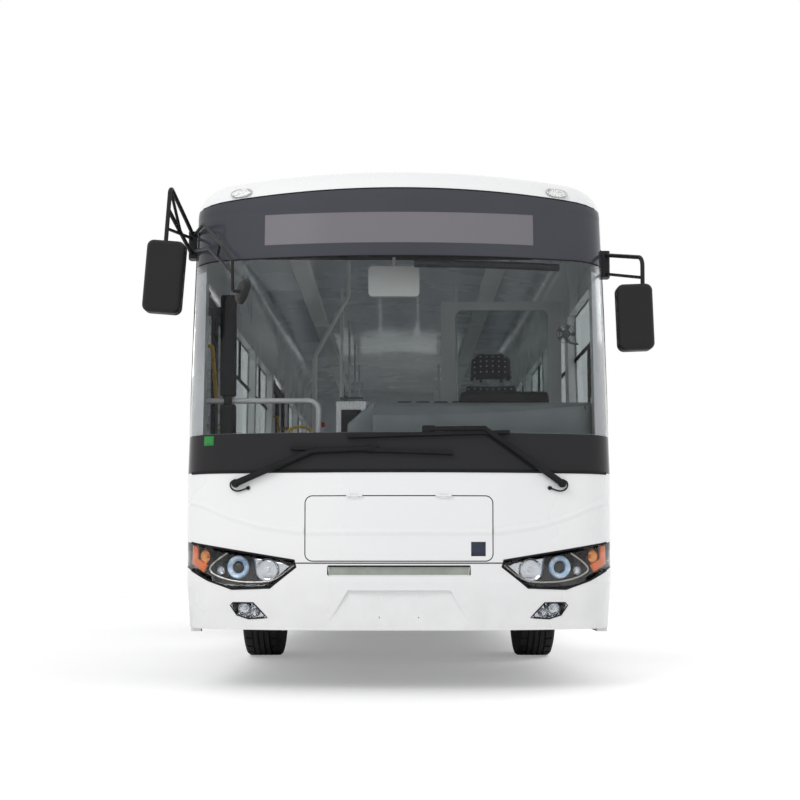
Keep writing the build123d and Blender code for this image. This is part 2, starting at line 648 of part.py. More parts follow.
def ring(points):
    """Body turned about the X axis from (x, radius) points."""
    face = Face(Wire.make_polygon([(p[0], p[1], 0) for p in points], close=True))
    return Solid.revolve(face, 360, Axis.X)


def tyre():
    """One tyre, with rounded shoulders and bulged sidewalls."""
    half = TYRE_W / 2
    tread = half - 28
    bead = half - 26
    seat = RIM_R + FIT
    shoulder = TYRE_R - 26
    waist = (TYRE_R + seat) / 2
    edges = [
        Edge.make_line((-bead, seat, 0), (bead, seat, 0)),
        Edge.make_three_point_arc((bead, seat, 0), (half, waist - 12, 0), (half - 6, shoulder, 0)),
        Edge.make_three_point_arc((half - 6, shoulder, 0), (half - 16, TYRE_R - 8, 0), (tread, TYRE_R, 0)),
        Edge.make_line((tread, TYRE_R, 0), (-tread, TYRE_R, 0)),
        Edge.make_three_point_arc((-tread, TYRE_R, 0), (-half + 16, TYRE_R - 8, 0), (-half + 6, shoulder, 0)),
        Edge.make_three_point_arc((-half + 6, shoulder, 0), (-half, waist - 12, 0), (-bead, seat, 0)),
    ]
    return Solid.revolve(Face(Wire(edges)), 360, Axis.X)


HAND_HOLES = 10
HAND_HOLE_R = 26.0
HAND_HOLE_CIRCLE = 205.0
BARREL_HALF = 130.0
BARREL_T = 12.0


def rim(disc_x, hub_in, hub_out, cover, bore_end, dish):
    """Wheel rim: barrel, dished disc with hand holes, hub and bearing bore."""
    half = BARREL_HALF
    inner = RIM_R - BARREL_T
    barrel = ring(((-half, inner), (half, inner), (half, RIM_R + 12), (half - 6, RIM_R + 12), (half - 8, RIM_R),
                   (-half + 8, RIM_R), (-half + 6, RIM_R + 12), (-half, RIM_R + 12)))
    disc = ring(((disc_x, 100), (disc_x + 14, 100), (disc_x + 14, 165), (disc_x + dish + 14, inner + 2),
                 (disc_x + dish, inner + 2), (disc_x, 165)))
    for k in range(HAND_HOLES):
        angle = 2 * pi * k / HAND_HOLES
        y = HAND_HOLE_CIRCLE * cos(angle)
        z = HAND_HOLE_CIRCLE * sin(angle)
        disc = disc - cylinder((disc_x - 150, y, z), (disc_x + 150, y, z), HAND_HOLE_R)
    hub = ring(((hub_in, 0), (hub_in, 105), (disc_x + 14, 105), (disc_x + 14, 95), (hub_out - 25, cover),
                (hub_out, cover - 20), (hub_out, 0)))
    body = barrel + disc + hub
    return body - cylinder((hub_in - 50, 0, 0), (bore_end, 0, 0), STUB_R + BEARING_GAP)


front_centre = FRONT_TRACK / 2
front_rim = rim(75.0, 0.0, 140.0, 90.0, KINGPIN_X + 215 - front_centre + 5, -24.0)
front_tyre = tyre()
for side, label in ((1, "left"), (-1, "right")):
    place = Pos(front_centre, front_y, TYRE_R)
    wheel_tyre = place * front_tyre
    wheel_rim = place * front_rim
    if side < 0:
        wheel_tyre = mirrored(wheel_tyre)
        wheel_rim = mirrored(wheel_rim)
    keep("front_" + label + "_tyre", wheel_tyre)
    keep("front_" + label + "_rim", wheel_rim)

twin = TWIN_SPACING / 2
rear_outer = Pos(twin, 0, 0) * rim(-twin + 1, -twin - 70, -twin + 150, 88.0, -twin + 115, 60.0)
rear_inner_barrel = ring(((-BARREL_HALF, RIM_R - BARREL_T), (BARREL_HALF, RIM_R - BARREL_T), (BARREL_HALF, RIM_R),
                          (-BARREL_HALF, RIM_R)))
rear_inner_disc = ring(((twin - 14, 100), (twin + 1, 100), (twin + 1, 165), (twin - 40, RIM_R - BARREL_T + 2),
                        (twin - 56, RIM_R - BARREL_T + 2), (twin - 14, 165)))
rear_inner = Pos(-twin, 0, 0) * (rear_inner_barrel + rear_inner_disc)
rear_rim = rear_outer + rear_inner
for side, label in ((1, "left"), (-1, "right")):
    place = Pos(HUB_FACE_X, rear_y, TYRE_R)
    wheel_tyres = [place * Pos(offset, 0, 0) * tyre() for offset in (-twin, twin)]
    wheel_rim = place * rear_rim
    if side < 0:
        wheel_tyres = [mirrored(one) for one in wheel_tyres]
        wheel_rim = mirrored(wheel_rim)
    keep("rear_" + label + "_tyres", *wheel_tyres)
    keep("rear_" + label + "_rim", wheel_rim)


# Doors: each leaf hangs from the middle on two arms of a turning post beside its jamb

def door_leaf(jamb, meeting, name):
    """One leaf between its jamb edge and its meeting edge, with its post and glass."""
    along = 1 if meeting > jamb else -1
    width = abs(meeting - jamb)
    post_y = at(jamb - along * POST_SETBACK)
    arm = width / 2 + POST_SETBACK
    pin_y = post_y + along * arm
    low, high = sorted((at(jamb), at(meeting)))
    x0 = -LEAF_X - LEAF_T / 2
    x1 = -LEAF_X + LEAF_T / 2
    frame_w = 55.0
    glass_z0 = LEAF_Z[0] + 120
    glass_z1 = LEAF_Z[1] - 75
    panel = box(x0, x1, low, high, *LEAF_Z)
    hole = prism(rect(low + frame_w, high - frame_w, glass_z0, glass_z1), "x", x0 - 10, x1 + 10, 40)
    pane = prism(rect(low + frame_w + FIT, high - frame_w - FIT, glass_z0 + FIT, glass_z1 - FIT), "x",
                 x0 + 8, x0 + 16, 40 - FIT)
    panel = panel - hole
    post = cylinder((-LEAF_X, post_y, TREAD_Z + FIT), (-LEAF_X, post_y, DOOR_HEAD_Z - FIT), POST_R)
    for z0, z1 in ARM_Z:
        bar = box(-LEAF_X - ARM_W / 2, -LEAF_X + ARM_W / 2, *sorted((post_y, pin_y)), z0, z1)
        bar = bar + cylinder((-LEAF_X, pin_y, z0), (-LEAF_X, pin_y, z1), ARM_W / 2)
        post = post + bar
    for z0, z1 in ((ARM_Z[0][1] - 5, LEAF_Z[0] + 30), (LEAF_Z[1] - 30, ARM_Z[1][0] + 5)):
        post = post + cylinder((-LEAF_X, pin_y, z0), (-LEAF_X, pin_y, z1), 8)
    for z0, z1 in ((LEAF_Z[0] - 5, LEAF_Z[0] + 32), (LEAF_Z[1] - 32, LEAF_Z[1] + 5)):
        panel = panel - cylinder((-LEAF_X, pin_y, z0), (-LEAF_X, pin_y, z1), 8 + BEARING_GAP)
    keep(name + "_post", post)
    keep(name + "_leaf", panel)
    keep(name + "_glass", pane)


for doorway, label in ((FRONT_DOOR, "front_door"), (MIDDLE_DOOR, "middle_door")):
    centre = (doorway[0] + doorway[1]) / 2
    door_leaf(doorway[0] + JAMB_GAP, centre - MEETING_GAP / 2, label + "_fore")
    door_leaf(doorway[1] - JAMB_GAP, centre + MEETING_GAP / 2, label + "_aft")

# Windscreen wipers, as strips that follow the glass
WIPER_Z = 1178.0
wiper_outlines = (
    ((-928, WIPER_Z), (-489, 1359), (-155, 1370)),
    ((928, WIPER_Z), (483, 1486), (167, 1480)),
)
blade_lines = (((-615, 1376), (305, 1347)), ((626, 1468), (-290, 1440)))


def band(points, half):
    """Flat outline of a bent strip of even width, as (x, z) points joined in turn."""
    strips = []
    for (xa, za), (xb, zb) in zip(points[:-1], points[1:]):
        run = sqrt((xb - xa) ** 2 + (zb - za) ** 2)
        nx = -(zb - za) / run * half
        nz = (xb - xa) / run * half
        strips.append(((xa + nx, za + nz), (xb + nx, zb + nz), (xb - nx, zb - nz), (xa - nx, za - nz)))
    return strips


arm_shell = envelope(-34) - envelope(-22)
blade_shell = envelope(-30) - envelope(-4)
pivot_shell = envelope(-36) - envelope(-FIT)
clip_shell = envelope(-36) - envelope(-10)
wipers = []
for arms, blade in zip(wiper_outlines, blade_lines):
    whole = None
    for outline in band(arms, 11):
        strip = arm_shell & prism(outline, "y", at(-200), at(260))
        whole = strip if whole is None else whole + strip
    for x, z in arms[:2]:
        joint = cylinder((x, at(-200), z), (x, at(260), z), 14)
        whole = whole + (arm_shell & joint)
    pivot = cylinder((arms[0][0], at(-200), WIPER_Z), (arms[0][0], at(260), WIPER_Z), 20)
    whole = whole + (pivot_shell & pivot)
    strip = blade_shell & prism(band(blade, 9)[0], "y", at(-200), at(260))
    clip = cylinder((arms[2][0], at(-200), arms[2][1]), (arms[2][0], at(260), arms[2][1]), 16)
    whole = whole + strip + (clip_shell & clip)
    wipers.append(whole)
keep("wipers", *wipers)

# Mirrors
TUBE_R = 12.0
STRUT_R = 9.0
MIRROR_DEPTH = 90.0


def mirror_head(width, height):
    """Mirror housing with rounded edges, about the origin."""
    head = Box(width, MIRROR_DEPTH, height)
    head = fillet(head.edges().filter_by(Axis.Y), 40)
    return fillet(head.faces().sort_by(Axis.Y)[0].edges(), 30)


HEAD_Y = at(-20)
POD_DEPTH = (445.0, 520.0)
POD_OUT = 40.0
arm_y = at(455)


def mirror_pod(side, z0, z1):
    """Bracket of a mirror arm on the side of the body."""
    edge = HALF_WIDTH - lean_at(z0)
    pod = box(side * (edge - 30), side * (edge + POD_OUT), at(POD_DEPTH[0]), at(POD_DEPTH[1]), z0, z1)
    return fillet(pod.edges().filter_by(Axis.Z), 15)


# Door side: a braced triangle carries the head, and two bent tubes carry the look-down mirror
apex = (-1294, HEAD_Y, 2858)
head_top = (-1318, HEAD_Y, 2526)
brace_top = (-1303, HEAD_Y, 2722)
brace_low = (-1250, arm_y, 2583)
right_mirror = Pos(-1324, HEAD_Y, 2338) * Rot(0, 4.4, 0) * mirror_head(216, 410)
right_mirror = right_mirror + mirror_pod(-1, 2553, 2718)
right_mirror = right_mirror + tube_run([(-1245, arm_y, 2703), apex, head_top], TUBE_R, 30)
right_mirror = right_mirror + cylinder(brace_top, brace_low, TUBE_R)
right_mirror = right_mirror + cylinder((-1310, HEAD_Y, 2615), (-1250, arm_y, 2678), STRUT_R)
right_mirror = right_mirror + cylinder((-1292, HEAD_Y + 15, 2828), (-1276, (HEAD_Y + arm_y) / 2, 2652), STRUT_R)
LOOK_DOWN_R = 72.0
look_place = Plane(origin=(-858, at(-228), 2216), z_dir=(0.83, 0.5, -0.22))
look_dome = fillet(Cylinder(LOOK_DOWN_R, 30).edges().sort_by(Axis.Z)[0], 24)
look_foot = (-910, at(-228), 2216)
right_mirror = right_mirror + look_place * look_dome
right_mirror = right_mirror + tube_run([(-1235, arm_y, 2698), (-1140, at(200), 2700), (-985, at(-100), 2495),
                                        (-913, at(-220), 2382), look_foot], STRUT_R, 45)
right_mirror = right_mirror + tube_run([(-1240, arm_y, 2598), (-1094, at(120), 2535), (-912, at(-224), 2316)], STRUT_R)
right_mirror = right_mirror + cylinder((-1006, at(-60), 2522), (-1026, at(-8), 2467), STRUT_R)
right_mirror = right_mirror + cylinder(look_foot, (-860, at(-228), 2216), STRUT_R)

# Driver's side: one bent tube and a strut carry the head
left_mirror = Pos(1329, HEAD_Y, 2108) * Rot(0, -2, 0) * mirror_head(202, 375)
left_mirror = left_mirror + mirror_pod(1, 2440, 2600)
left_mirror = left_mirror + tube_run([(1250, arm_y, 2575), (1374, HEAD_Y, 2450), (1374, HEAD_Y, 2285)], TUBE_R, 60)
left_mirror = left_mirror + cylinder((1250, arm_y, 2460), (1374, HEAD_Y, 2335), STRUT_R)
clear_skin = envelope(-FIT)
inside_mirror = Pos(-30, at(330), 2385) * Box(300, 40, 180)
inside_mirror = fillet(inside_mirror.edges().filter_by(Axis.Y), 25)
SIGN_Z = (2530.0, 2800.0)
inside_mirror = inside_mirror + cylinder((-30, at(330), 2460), (-30, at(330), SIGN_Z[0] - FIT), 9)
keep("mirrors", right_mirror - clear_skin, left_mirror - clear_skin, inside_mirror)

# Destination sign behind the header glass
sign = envelope(30) & prism(rect(-800, 800, *SIGN_Z), "y", at(-100), at(390))
brackets = zone(150, 380, SIGN_Z[1], CREST_Z - 40, -700, -640) + zone(150, 380, SIGN_Z[1], CREST_Z - 40, 640, 700)
keep("destination_sign", sign + (brackets & envelope(WALL_T + FIT)))

# Cab
DASH_TOP_Z = 1690.0
dash_profile = (
    (at(90), 990), (at(90), 1560), (at(260), 1640), (at(520), DASH_TOP_Z), (at(640), 1560), (at(560), 1300),
    (at(470), PLATFORM_Z), (at(445), PLATFORM_Z), (at(430), 990),
)
dash = prism(dash_profile, "x", -150, 1180) & envelope(WALL_T + 25)
dash = dash + zone(430, 470, FLOOR_Z, 1000, -150, 159.5)
WHEEL_CENTRE = (640.0, at(800), 1640.0)
COLUMN_TILT = 28.0
axis_y = sin(radians(COLUMN_TILT))
axis_z = cos(radians(COLUMN_TILT))


def on_column(distance):
    """Point on the steering column, measured from the middle of the wheel."""
    x, y, z = WHEEL_CENTRE
    return (x, y + axis_y * distance, z + axis_z * distance)


column = cylinder(on_column(-460), on_column(-40), 38)
spindle = cylinder(on_column(-60), on_column(-5), 14)
dash = dash + column + spindle
keep("dashboard", dash)

wheel_plane = Plane(origin=WHEEL_CENTRE, x_dir=(1, 0, 0), z_dir=(0, axis_y, axis_z))
WHEEL_R = 225.0
hand_wheel = wheel_plane * Torus(WHEEL_R, 15)
hub = cylinder(on_column(-25), on_column(18), 52)
for angle in (0, 120, 240):
    spoke = wheel_plane * Rot(0, 0, 90 + angle) * Pos(WHEEL_R / 2 + 15, 0, 0) * Box(WHEEL_R - 35, 34, 14)
    hub = hub + spoke
hand_wheel = hand_wheel + hub
hand_wheel = hand_wheel - cylinder(on_column(-60), on_column(-4), 14 + BEARING_GAP)
keep("steering_wheel", hand_wheel)

DRIVER_X = 640.0
DRIVER_DEPTH = 1330.0
driver = zone(DRIVER_DEPTH - 230, DRIVER_DEPTH + 230, 1230, 1340, DRIVER_X - 240, DRIVER_X + 240)
driver = fillet(driver.edges().filter_by(Axis.Z), 70)
back_profile = (
    (at(DRIVER_DEPTH + 170), 1300), (at(DRIVER_DEPTH + 290), 2000), (at(DRIVER_DEPTH + 370), 2000),
    (at(DRIVER_DEPTH + 270), 1300),
)
driver = driver + prism(back_profile, "x", DRIVER_X - 230, DRIVER_X + 230)
head_profile = (
    (at(DRIVER_DEPTH + 292), 2001), (at(DRIVER_DEPTH + 318), 2190), (at(DRIVER_DEPTH + 390), 2190),
    (at(DRIVER_DEPTH + 364), 1990),
)
driver = driver + prism(head_profile, "x", DRIVER_X - 140, DRIVER_X + 140)
driver = driver + zone(DRIVER_DEPTH - 150, DRIVER_DEPTH + 150, PLATFORM_Z, 1240, DRIVER_X - 150, DRIVER_X + 150)
keep("driver_seat", driver)

PARTITION_DEPTH = 1800.0
partition = zone(PARTITION_DEPTH, PARTITION_DEPTH + 35, FLOOR_Z, 2560, 300, 1150)
opening = prism(rect(400, 1060, 1500, 2500), "y", at(PARTITION_DEPTH - 10), at(PARTITION_DEPTH + 60), 50)
keep("driver_partition", partition - opening)

# Fare box at the front step: stand, box and sloped bowl
FARE_X = (-385.0, -200.0)
FARE_DEPTH = (640.0, 850.0)
FARE_TOP_Z = 1720.0
fare_box = zone(FARE_DEPTH[0] + 25, FARE_DEPTH[1] - 25, FLOOR_Z + FIT, 1440, FARE_X[0] + 20, FARE_X[1] - 20)
fare_profile = (
    (at(FARE_DEPTH[0]), 1430), (at(FARE_DEPTH[1]), 1430), (at(FARE_DEPTH[1]), 1640),
    (at(FARE_DEPTH[0] + 120), FARE_TOP_Z), (at(FARE_DEPTH[0]), FARE_TOP_Z),
)
fare_box = fare_box + prism(fare_profile, "x", *FARE_X, 15)
keep("fare_box", fare_box)

# Passenger seats, in pairs, as the distance of the seat front and the side they stand on
SEAT_W = 430.0
SEAT_D = 430.0
SEAT_H = 440.0
BENCH_H = 330.0
PAIR_X = 720.0
SEATS = (
    (3350, 1), (4120, 1), (4890, 1), (5660, 1), (6430, 1), (3350, -1), (6430, -1), (8350, 1), (8350, -1),
)
cushions = []
backs = []


def seat(x, depth, base, height=SEAT_H):
    """Moulded seat: cushion on a pedestal, and a leaning back."""
    z = base + height
    pad = zone(depth, depth + SEAT_D, z - 70, z, x - SEAT_W / 2, x + SEAT_W / 2)
    pad = fillet(pad.edges().filter_by(Axis.Z), 60)
    leg = zone(depth + 120, depth + 300, base + FIT, z - 60, x - 60, x + 60)
    cushions.append(pad + leg)
    y = at(depth + SEAT_D)
    profile = ((y + FIT, z - 70), (y + FIT, z), (y + 110, z + 640), (y + 150, z + 640), (y + 50, z - 70))
    shell_back = prism(profile, "x", x - SEAT_W / 2, x + SEAT_W / 2)
    backs.append(shell_back)


for depth, side in SEATS:
    for offset in (-SEAT_W / 2 - 10, SEAT_W / 2 + 10):
        seat(side * PAIR_X + offset, depth, FLOOR_Z)
for k in range(5):
    seat((k - 2) * 450.0, 9600, DECK_Z, BENCH_H)
keep("seat_cushions", *cushions)
keep("seat_backs", *backs)

# Grab rails
RAIL_TUBE_R = 16.0
CEILING_Z = 3000.0
rails = []
for side in (-1, 1):
    x = side * 470.0
    run = tube_run([(x, at(3200), 2150), (x, at(9200), 2150)], RAIL_TUBE_R)
    for depth in (3240, 4800, 6300, 7700, 9160):
        run = run + cylinder((x, at(depth), 2150), (x, at(depth), CEILING_Z), 12)
    for depth in (3240, 4800, 6300):
        if side > 0 or depth == 3240:
            run = run + cylinder((x, at(depth), FLOOR_Z + FIT), (x, at(depth), 2150), RAIL_TUBE_R)
    rails.append(run)
ENTRANCE_RAIL_Z = 1690.0
entrance = tube_run([(-HALF_WIDTH, at(440), ENTRANCE_RAIL_Z), (-480, at(440), ENTRANCE_RAIL_Z),
                     (-480, at(440), FLOOR_Z + FIT)], RAIL_TUBE_R, 60)
rails.append(entrance & envelope(PILLAR_INSET + PILLAR_T + FIT))
pole = tube_run([(-595, at(1800), FLOOR_Z + FIT), (-595, at(1800), 2170), (-360, at(1800), 2600),
                 (-360, at(1800), CEILING_Z)], RAIL_TUBE_R, 60)
rails.append(pole)
rails = [run & envelope(WALL_T + FIT) for run in rails]
keep("grab_rails", *rails)

for name, shape in pieces.items():
    shape.label = name
    export_step(shape, "parts/" + name + ".step")
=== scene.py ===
"""Looks of an electric city bus: finishes, lamp insides, seals, tyre tread, seats and cabin fittings.

Metres, in the frame of the solids. The front faces -Y and the passenger doors are on the -X side.
"""
from math import cos, pi, radians, sin

import bmesh
import bpy
from mathutils import Matrix, Vector
from mathutils.bvhtree import BVHTree


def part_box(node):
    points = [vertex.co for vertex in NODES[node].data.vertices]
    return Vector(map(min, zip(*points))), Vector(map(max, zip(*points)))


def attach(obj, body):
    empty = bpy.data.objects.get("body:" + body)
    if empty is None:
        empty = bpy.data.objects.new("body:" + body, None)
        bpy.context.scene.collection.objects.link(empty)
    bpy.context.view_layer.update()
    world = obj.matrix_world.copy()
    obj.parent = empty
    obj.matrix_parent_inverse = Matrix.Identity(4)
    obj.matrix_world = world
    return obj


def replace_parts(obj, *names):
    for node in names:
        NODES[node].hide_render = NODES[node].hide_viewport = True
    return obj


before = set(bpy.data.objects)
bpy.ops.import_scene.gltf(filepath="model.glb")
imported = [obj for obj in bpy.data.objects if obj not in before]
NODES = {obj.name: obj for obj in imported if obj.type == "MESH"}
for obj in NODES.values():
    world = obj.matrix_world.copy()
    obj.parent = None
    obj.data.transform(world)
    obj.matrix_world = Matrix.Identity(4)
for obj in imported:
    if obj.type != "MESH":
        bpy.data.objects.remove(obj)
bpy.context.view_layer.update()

FRONT_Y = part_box("front_bumper")[0].y
REAR_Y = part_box("rear_wall")[1].y
SKIN_NODES = (
    "left_wall", "right_wall", "skirts", "roof", "front_mask", "front_bumper", "front_header", "front_hatch",
    "rear_wall", "windscreen", "header_glass", "windows", "front_lamps", "rear_lamps", "motor_door",
)
FAR = 20.0
MERGE_GAP = 1e-5


# Finishes

def srgb(red, green, blue):
    """Linear colour of a screen colour given in steps of 0 to 255."""
    steps = []
    for value in (red, green, blue):
        part = value / 255
        steps.append(part / 12.92 if part <= 0.04045 else ((part + 0.055) / 1.055) ** 2.4)
    return (*steps, 1.0)


def new_finish(name):
    """Node material with its main shader and the piece's own coordinates."""
    material = bpy.data.materials.new(name)
    material.use_nodes = True
    tree = material.node_tree
    place = tree.nodes.new("ShaderNodeTexCoord").outputs["Object"]
    return material, tree, tree.nodes["Principled BSDF"], place


def mapped(tree, place, scale):
    """Coordinates stretched along the axes."""
    node = tree.nodes.new("ShaderNodeMapping")
    node.inputs["Scale"].default_value = scale
    tree.links.new(place, node.inputs["Vector"])
    return node.outputs["Vector"]


def noise(tree, place, scale, detail=4.0):
    """Cloudy value from 0 to 1."""
    node = tree.nodes.new("ShaderNodeTexNoise")
    node.inputs["Scale"].default_value = scale
    node.inputs["Detail"].default_value = detail
    tree.links.new(place, node.inputs["Vector"])
    return node.outputs["Fac"]


def cells(tree, place, scale):
    """Distance to the nearest of many scattered points."""
    node = tree.nodes.new("ShaderNodeTexVoronoi")
    node.inputs["Scale"].default_value = scale
    tree.links.new(place, node.inputs["Vector"])
    return node.outputs["Distance"]


def ribs(tree, place, axis, pitch):
    """Wave along one axis with a given pitch."""
    node = tree.nodes.new("ShaderNodeTexWave")
    node.bands_direction = axis
    node.inputs["Scale"].default_value = pi / (10 * pitch)
    tree.links.new(place, node.inputs["Vector"])
    return node.outputs["Fac"]


def part_of(tree, place, axis):
    """One coordinate of a place."""
    node = tree.nodes.new("ShaderNodeSeparateXYZ")
    tree.links.new(place, node.inputs["Vector"])
    return node.outputs[axis]


def span(tree, value, low, high, start=0.0, end=1.0):
    """Value moved from one range to another, held at its ends."""
    node = tree.nodes.new("ShaderNodeMapRange")
    node.inputs["From Min"].default_value = low
    node.inputs["From Max"].default_value = high
    node.inputs["To Min"].default_value = start
    node.inputs["To Max"].default_value = end
    tree.links.new(value, node.inputs["Value"])
    return node.outputs["Result"]


def combine(tree, operation, first, second):
    """Two values through one arithmetic step; the second may be a plain number."""
    node = tree.nodes.new("ShaderNodeMath")
    node.operation = operation
    tree.links.new(first, node.inputs[0])
    if isinstance(second, (int, float)):
        node.inputs[1].default_value = second
    else:
        tree.links.new(second, node.inputs[1])
    return node.outputs[0]


def blend_colour(tree, factor, first, second):
    """Mix of two colours, each a plain colour or a socket."""
    node = tree.nodes.new("ShaderNodeMix")
    node.data_type = "RGBA"
    tree.links.new(factor, node.inputs["Factor"])
    for source, socket in ((first, node.inputs[6]), (second, node.inputs[7])):
        if isinstance(source, tuple):
            socket.default_value = source
        else:
            tree.links.new(source, socket)
    return node.outputs[2]


def raise_grain(tree, shader, height, depth, strength=1.0):
    """Bump of a given depth in metres."""
    node = tree.nodes.new("ShaderNodeBump")
    node.inputs["Distance"].default_value = depth
    node.inputs["Strength"].default_value = strength
    tree.links.new(height, node.inputs["Height"])
    tree.links.new(node.outputs["Normal"], shader.inputs["Normal"])


def set_sockets(shader, **values):
    """Plain values on the shader's own sockets, with spaces written as underscores."""
    for name, value in values.items():
        shader.inputs[name.replace("_", " ")].default_value = value


CLOUD_RANGE = (0.35, 0.65)
GLOSS_RANGE = (0.3, 0.7)


def paint(tree, shader, factor, first, second):
    """Base colour of a finish, mixed from two colours."""
    tree.links.new(blend_colour(tree, factor, first, second), shader.inputs["Base Color"])


def polish(tree, shader, cloud, smooth, rough):
    """Roughness of a finish, which changes with a cloudy value."""
    tree.links.new(span(tree, cloud, *GLOSS_RANGE, smooth, rough), shader.inputs["Roughness"])


def grained(name, dark, light, patch, rough, grain, depth, **sockets):
    """Finish with cloudy colour, cloudy gloss and a fine grain."""
    material, tree, shader, place = new_finish(name)
    cloud = noise(tree, place, patch)
    paint(tree, shader, span(tree, cloud, *CLOUD_RANGE), dark, light)
    polish(tree, shader, cloud, *rough)
    raise_grain(tree, shader, noise(tree, place, grain), depth)
    set_sockets(shader, **sockets)
    return material


DUST_AND_REFLECTION_TOP = 0.85
DUST_AND_REFLECTION_FOOT = 0.3
DUST_AND_REFLECTION_SHARE = 0.16


def body_paint():
    """White paint with a clear coat, faint waviness, and a speckled brownish tint low down: a painted reflection
    of the ground, speckled like road dust.
    """
    material, tree, shader, place = new_finish("body_white")
    cloud = noise(tree, place, 1.7)
    white = blend_colour(tree, cloud, srgb(236, 237, 239), srgb(243, 243, 243))
    # Brownish tint that grows towards the foot: painted reflection of the ground, with road-dust specks.
    low = span(tree, part_of(tree, place, "Z"), DUST_AND_REFLECTION_TOP, DUST_AND_REFLECTION_FOOT)
    specks = span(tree, noise(tree, place, 9.0, 8.0), 0.3, 0.8)
    dust_and_reflection = combine(tree, "MULTIPLY", combine(tree, "MULTIPLY", low, specks), DUST_AND_REFLECTION_SHARE)
    paint(tree, shader, dust_and_reflection, white, srgb(176, 168, 155))
    polish(tree, shader, cloud, 0.22, 0.32)
    raise_grain(tree, shader, noise(tree, place, 260.0, 2.0), 0.00005)
    set_sockets(shader, Coat_Weight=0.5, Coat_Roughness=0.06)
    return material


def clear_glass(name, light, dark, patch=0.8, bend=1.45, coat=0.0):
    """Tinted glass with a faint unevenness of tint and of polish."""
    material, tree, shader, place = new_finish(name)
    paint(tree, shader, span(tree, noise(tree, place, patch), *CLOUD_RANGE), dark, light)
    haze = span(tree, noise(tree, place, 6.0), 0.4, 0.8, 0.0, 0.02)
    tree.links.new(haze, shader.inputs["Roughness"])
    set_sockets(shader, Transmission_Weight=1.0, IOR=bend, Coat_Weight=coat)
    return material


SCREEN_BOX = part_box("windscreen")
BAND_HEIGHT = 0.22
BAND_TOP = SCREEN_BOX[0].z + BAND_HEIGHT
BAND_FADE = 0.001


def windscreen_glass():
    """Lightly tinted screen with a printed black band along its foot."""
    material, tree, shader, place = new_finish("screen_glass")
    printed = span(tree, part_of(tree, place, "Z"), BAND_TOP + BAND_FADE, BAND_TOP - BAND_FADE)
    tint = blend_colour(tree, noise(tree, place, 0.9), srgb(212, 214, 216), srgb(222, 224, 225))
    paint(tree, shader, printed, tint, srgb(44, 43, 45))
    tree.links.new(span(tree, printed, 0.0, 1.0, 1.0, 0.0), shader.inputs["Transmission Weight"])
    set_sockets(shader, Roughness=0.02, IOR=1.22)
    return material


SIGN_WINDOW_HALF = 0.778
SIGN_WINDOW_Z = (2.572, 2.7475)
SIGN_WINDOW_FADE = 0.004
SIGN_WINDOW_CLEAR = 0.45
SIGN_PITCH = 0.012


def header_glass():
    """Smoked header glass with a clearer window for the destination sign."""
    material, tree, shader, place = new_finish("header_smoke")
    across = combine(tree, "ABSOLUTE", part_of(tree, place, "X"), 0.0)
    height = part_of(tree, place, "Z")
    low, high = SIGN_WINDOW_Z
    inside = span(tree, across, SIGN_WINDOW_HALF + SIGN_WINDOW_FADE, SIGN_WINDOW_HALF)
    inside = combine(tree, "MULTIPLY", inside, span(tree, height, low - SIGN_WINDOW_FADE, low))
    inside = combine(tree, "MULTIPLY", inside, span(tree, height, high + SIGN_WINDOW_FADE, high))
    smoke = blend_colour(tree, noise(tree, place, 1.3), srgb(58, 60, 67), srgb(71, 73, 80))
    paint(tree, shader, inside, smoke, srgb(150, 147, 153))
    clear = combine(tree, "MULTIPLY", inside, SIGN_WINDOW_CLEAR)
    tree.links.new(clear, shader.inputs["Transmission Weight"])
    set_sockets(shader, Roughness=0.12, IOR=1.3)
    return material


def sign_face():
    """Matrix display, switched off: fine rows and columns of dark dots."""
    material, tree, shader, place = new_finish("sign_matrix")
    columns = ribs(tree, place, "X", SIGN_PITCH)
    dots = span(tree, combine(tree, "MULTIPLY", columns, ribs(tree, place, "Z", SIGN_PITCH)), 0.25, 0.6)
    paint(tree, shader, dots, srgb(46, 45, 47), srgb(128, 112, 112))
    raise_grain(tree, shader, dots, 0.0008)
    set_sockets(shader, Roughness=0.5)
    return material


WEAVE_PITCH = 0.0022


def dotted_cloth(name, ground, spot, pitch):
    """Woven seat cover with a grid of small spots."""
    material, tree, shader, place = new_finish(name)
    length = combine(tree, "ADD", part_of(tree, place, "Z"), part_of(tree, place, "Y"))
    spread = tree.nodes.new("ShaderNodeCombineXYZ")
    tree.links.new(part_of(tree, place, "X"), spread.inputs["X"])
    tree.links.new(length, spread.inputs["Z"])
    across = spread.outputs["Vector"]
    dots = combine(tree, "MULTIPLY", ribs(tree, across, "X", pitch), ribs(tree, across, "Z", pitch))
    paint(tree, shader, span(tree, dots, 0.78, 0.88), ground, spot)
    weave = combine(tree, "ADD", ribs(tree, place, "X", WEAVE_PITCH), ribs(tree, place, "Z", WEAVE_PITCH))
    raise_grain(tree, shader, weave, 0.0001, 0.6)
    set_sockets(shader, Roughness=0.9, Sheen_Weight=0.3)
    return material


def speckled_floor():
    """Grey safety vinyl with pale flecks."""
    material, tree, shader, place = new_finish("floor_vinyl")
    flecks = span(tree, cells(tree, place, 140.0), 0.05, 0.22, 1.0, 0.0)
    paint(tree, shader, flecks, srgb(92, 96, 102), srgb(170, 172, 174))
    raise_grain(tree, shader, noise(tree, place, 400.0), 0.0003)
    set_sockets(shader, Roughness=0.7)
    return material


REAR_LENS_Z = (0.62, 1.12)
REAR_LENS_CLEAR = 0.8
REAR_LENS_FADE = 0.003
STOP_LAMP_ABOVE = 2.0
FLUTE_PITCH = 0.012


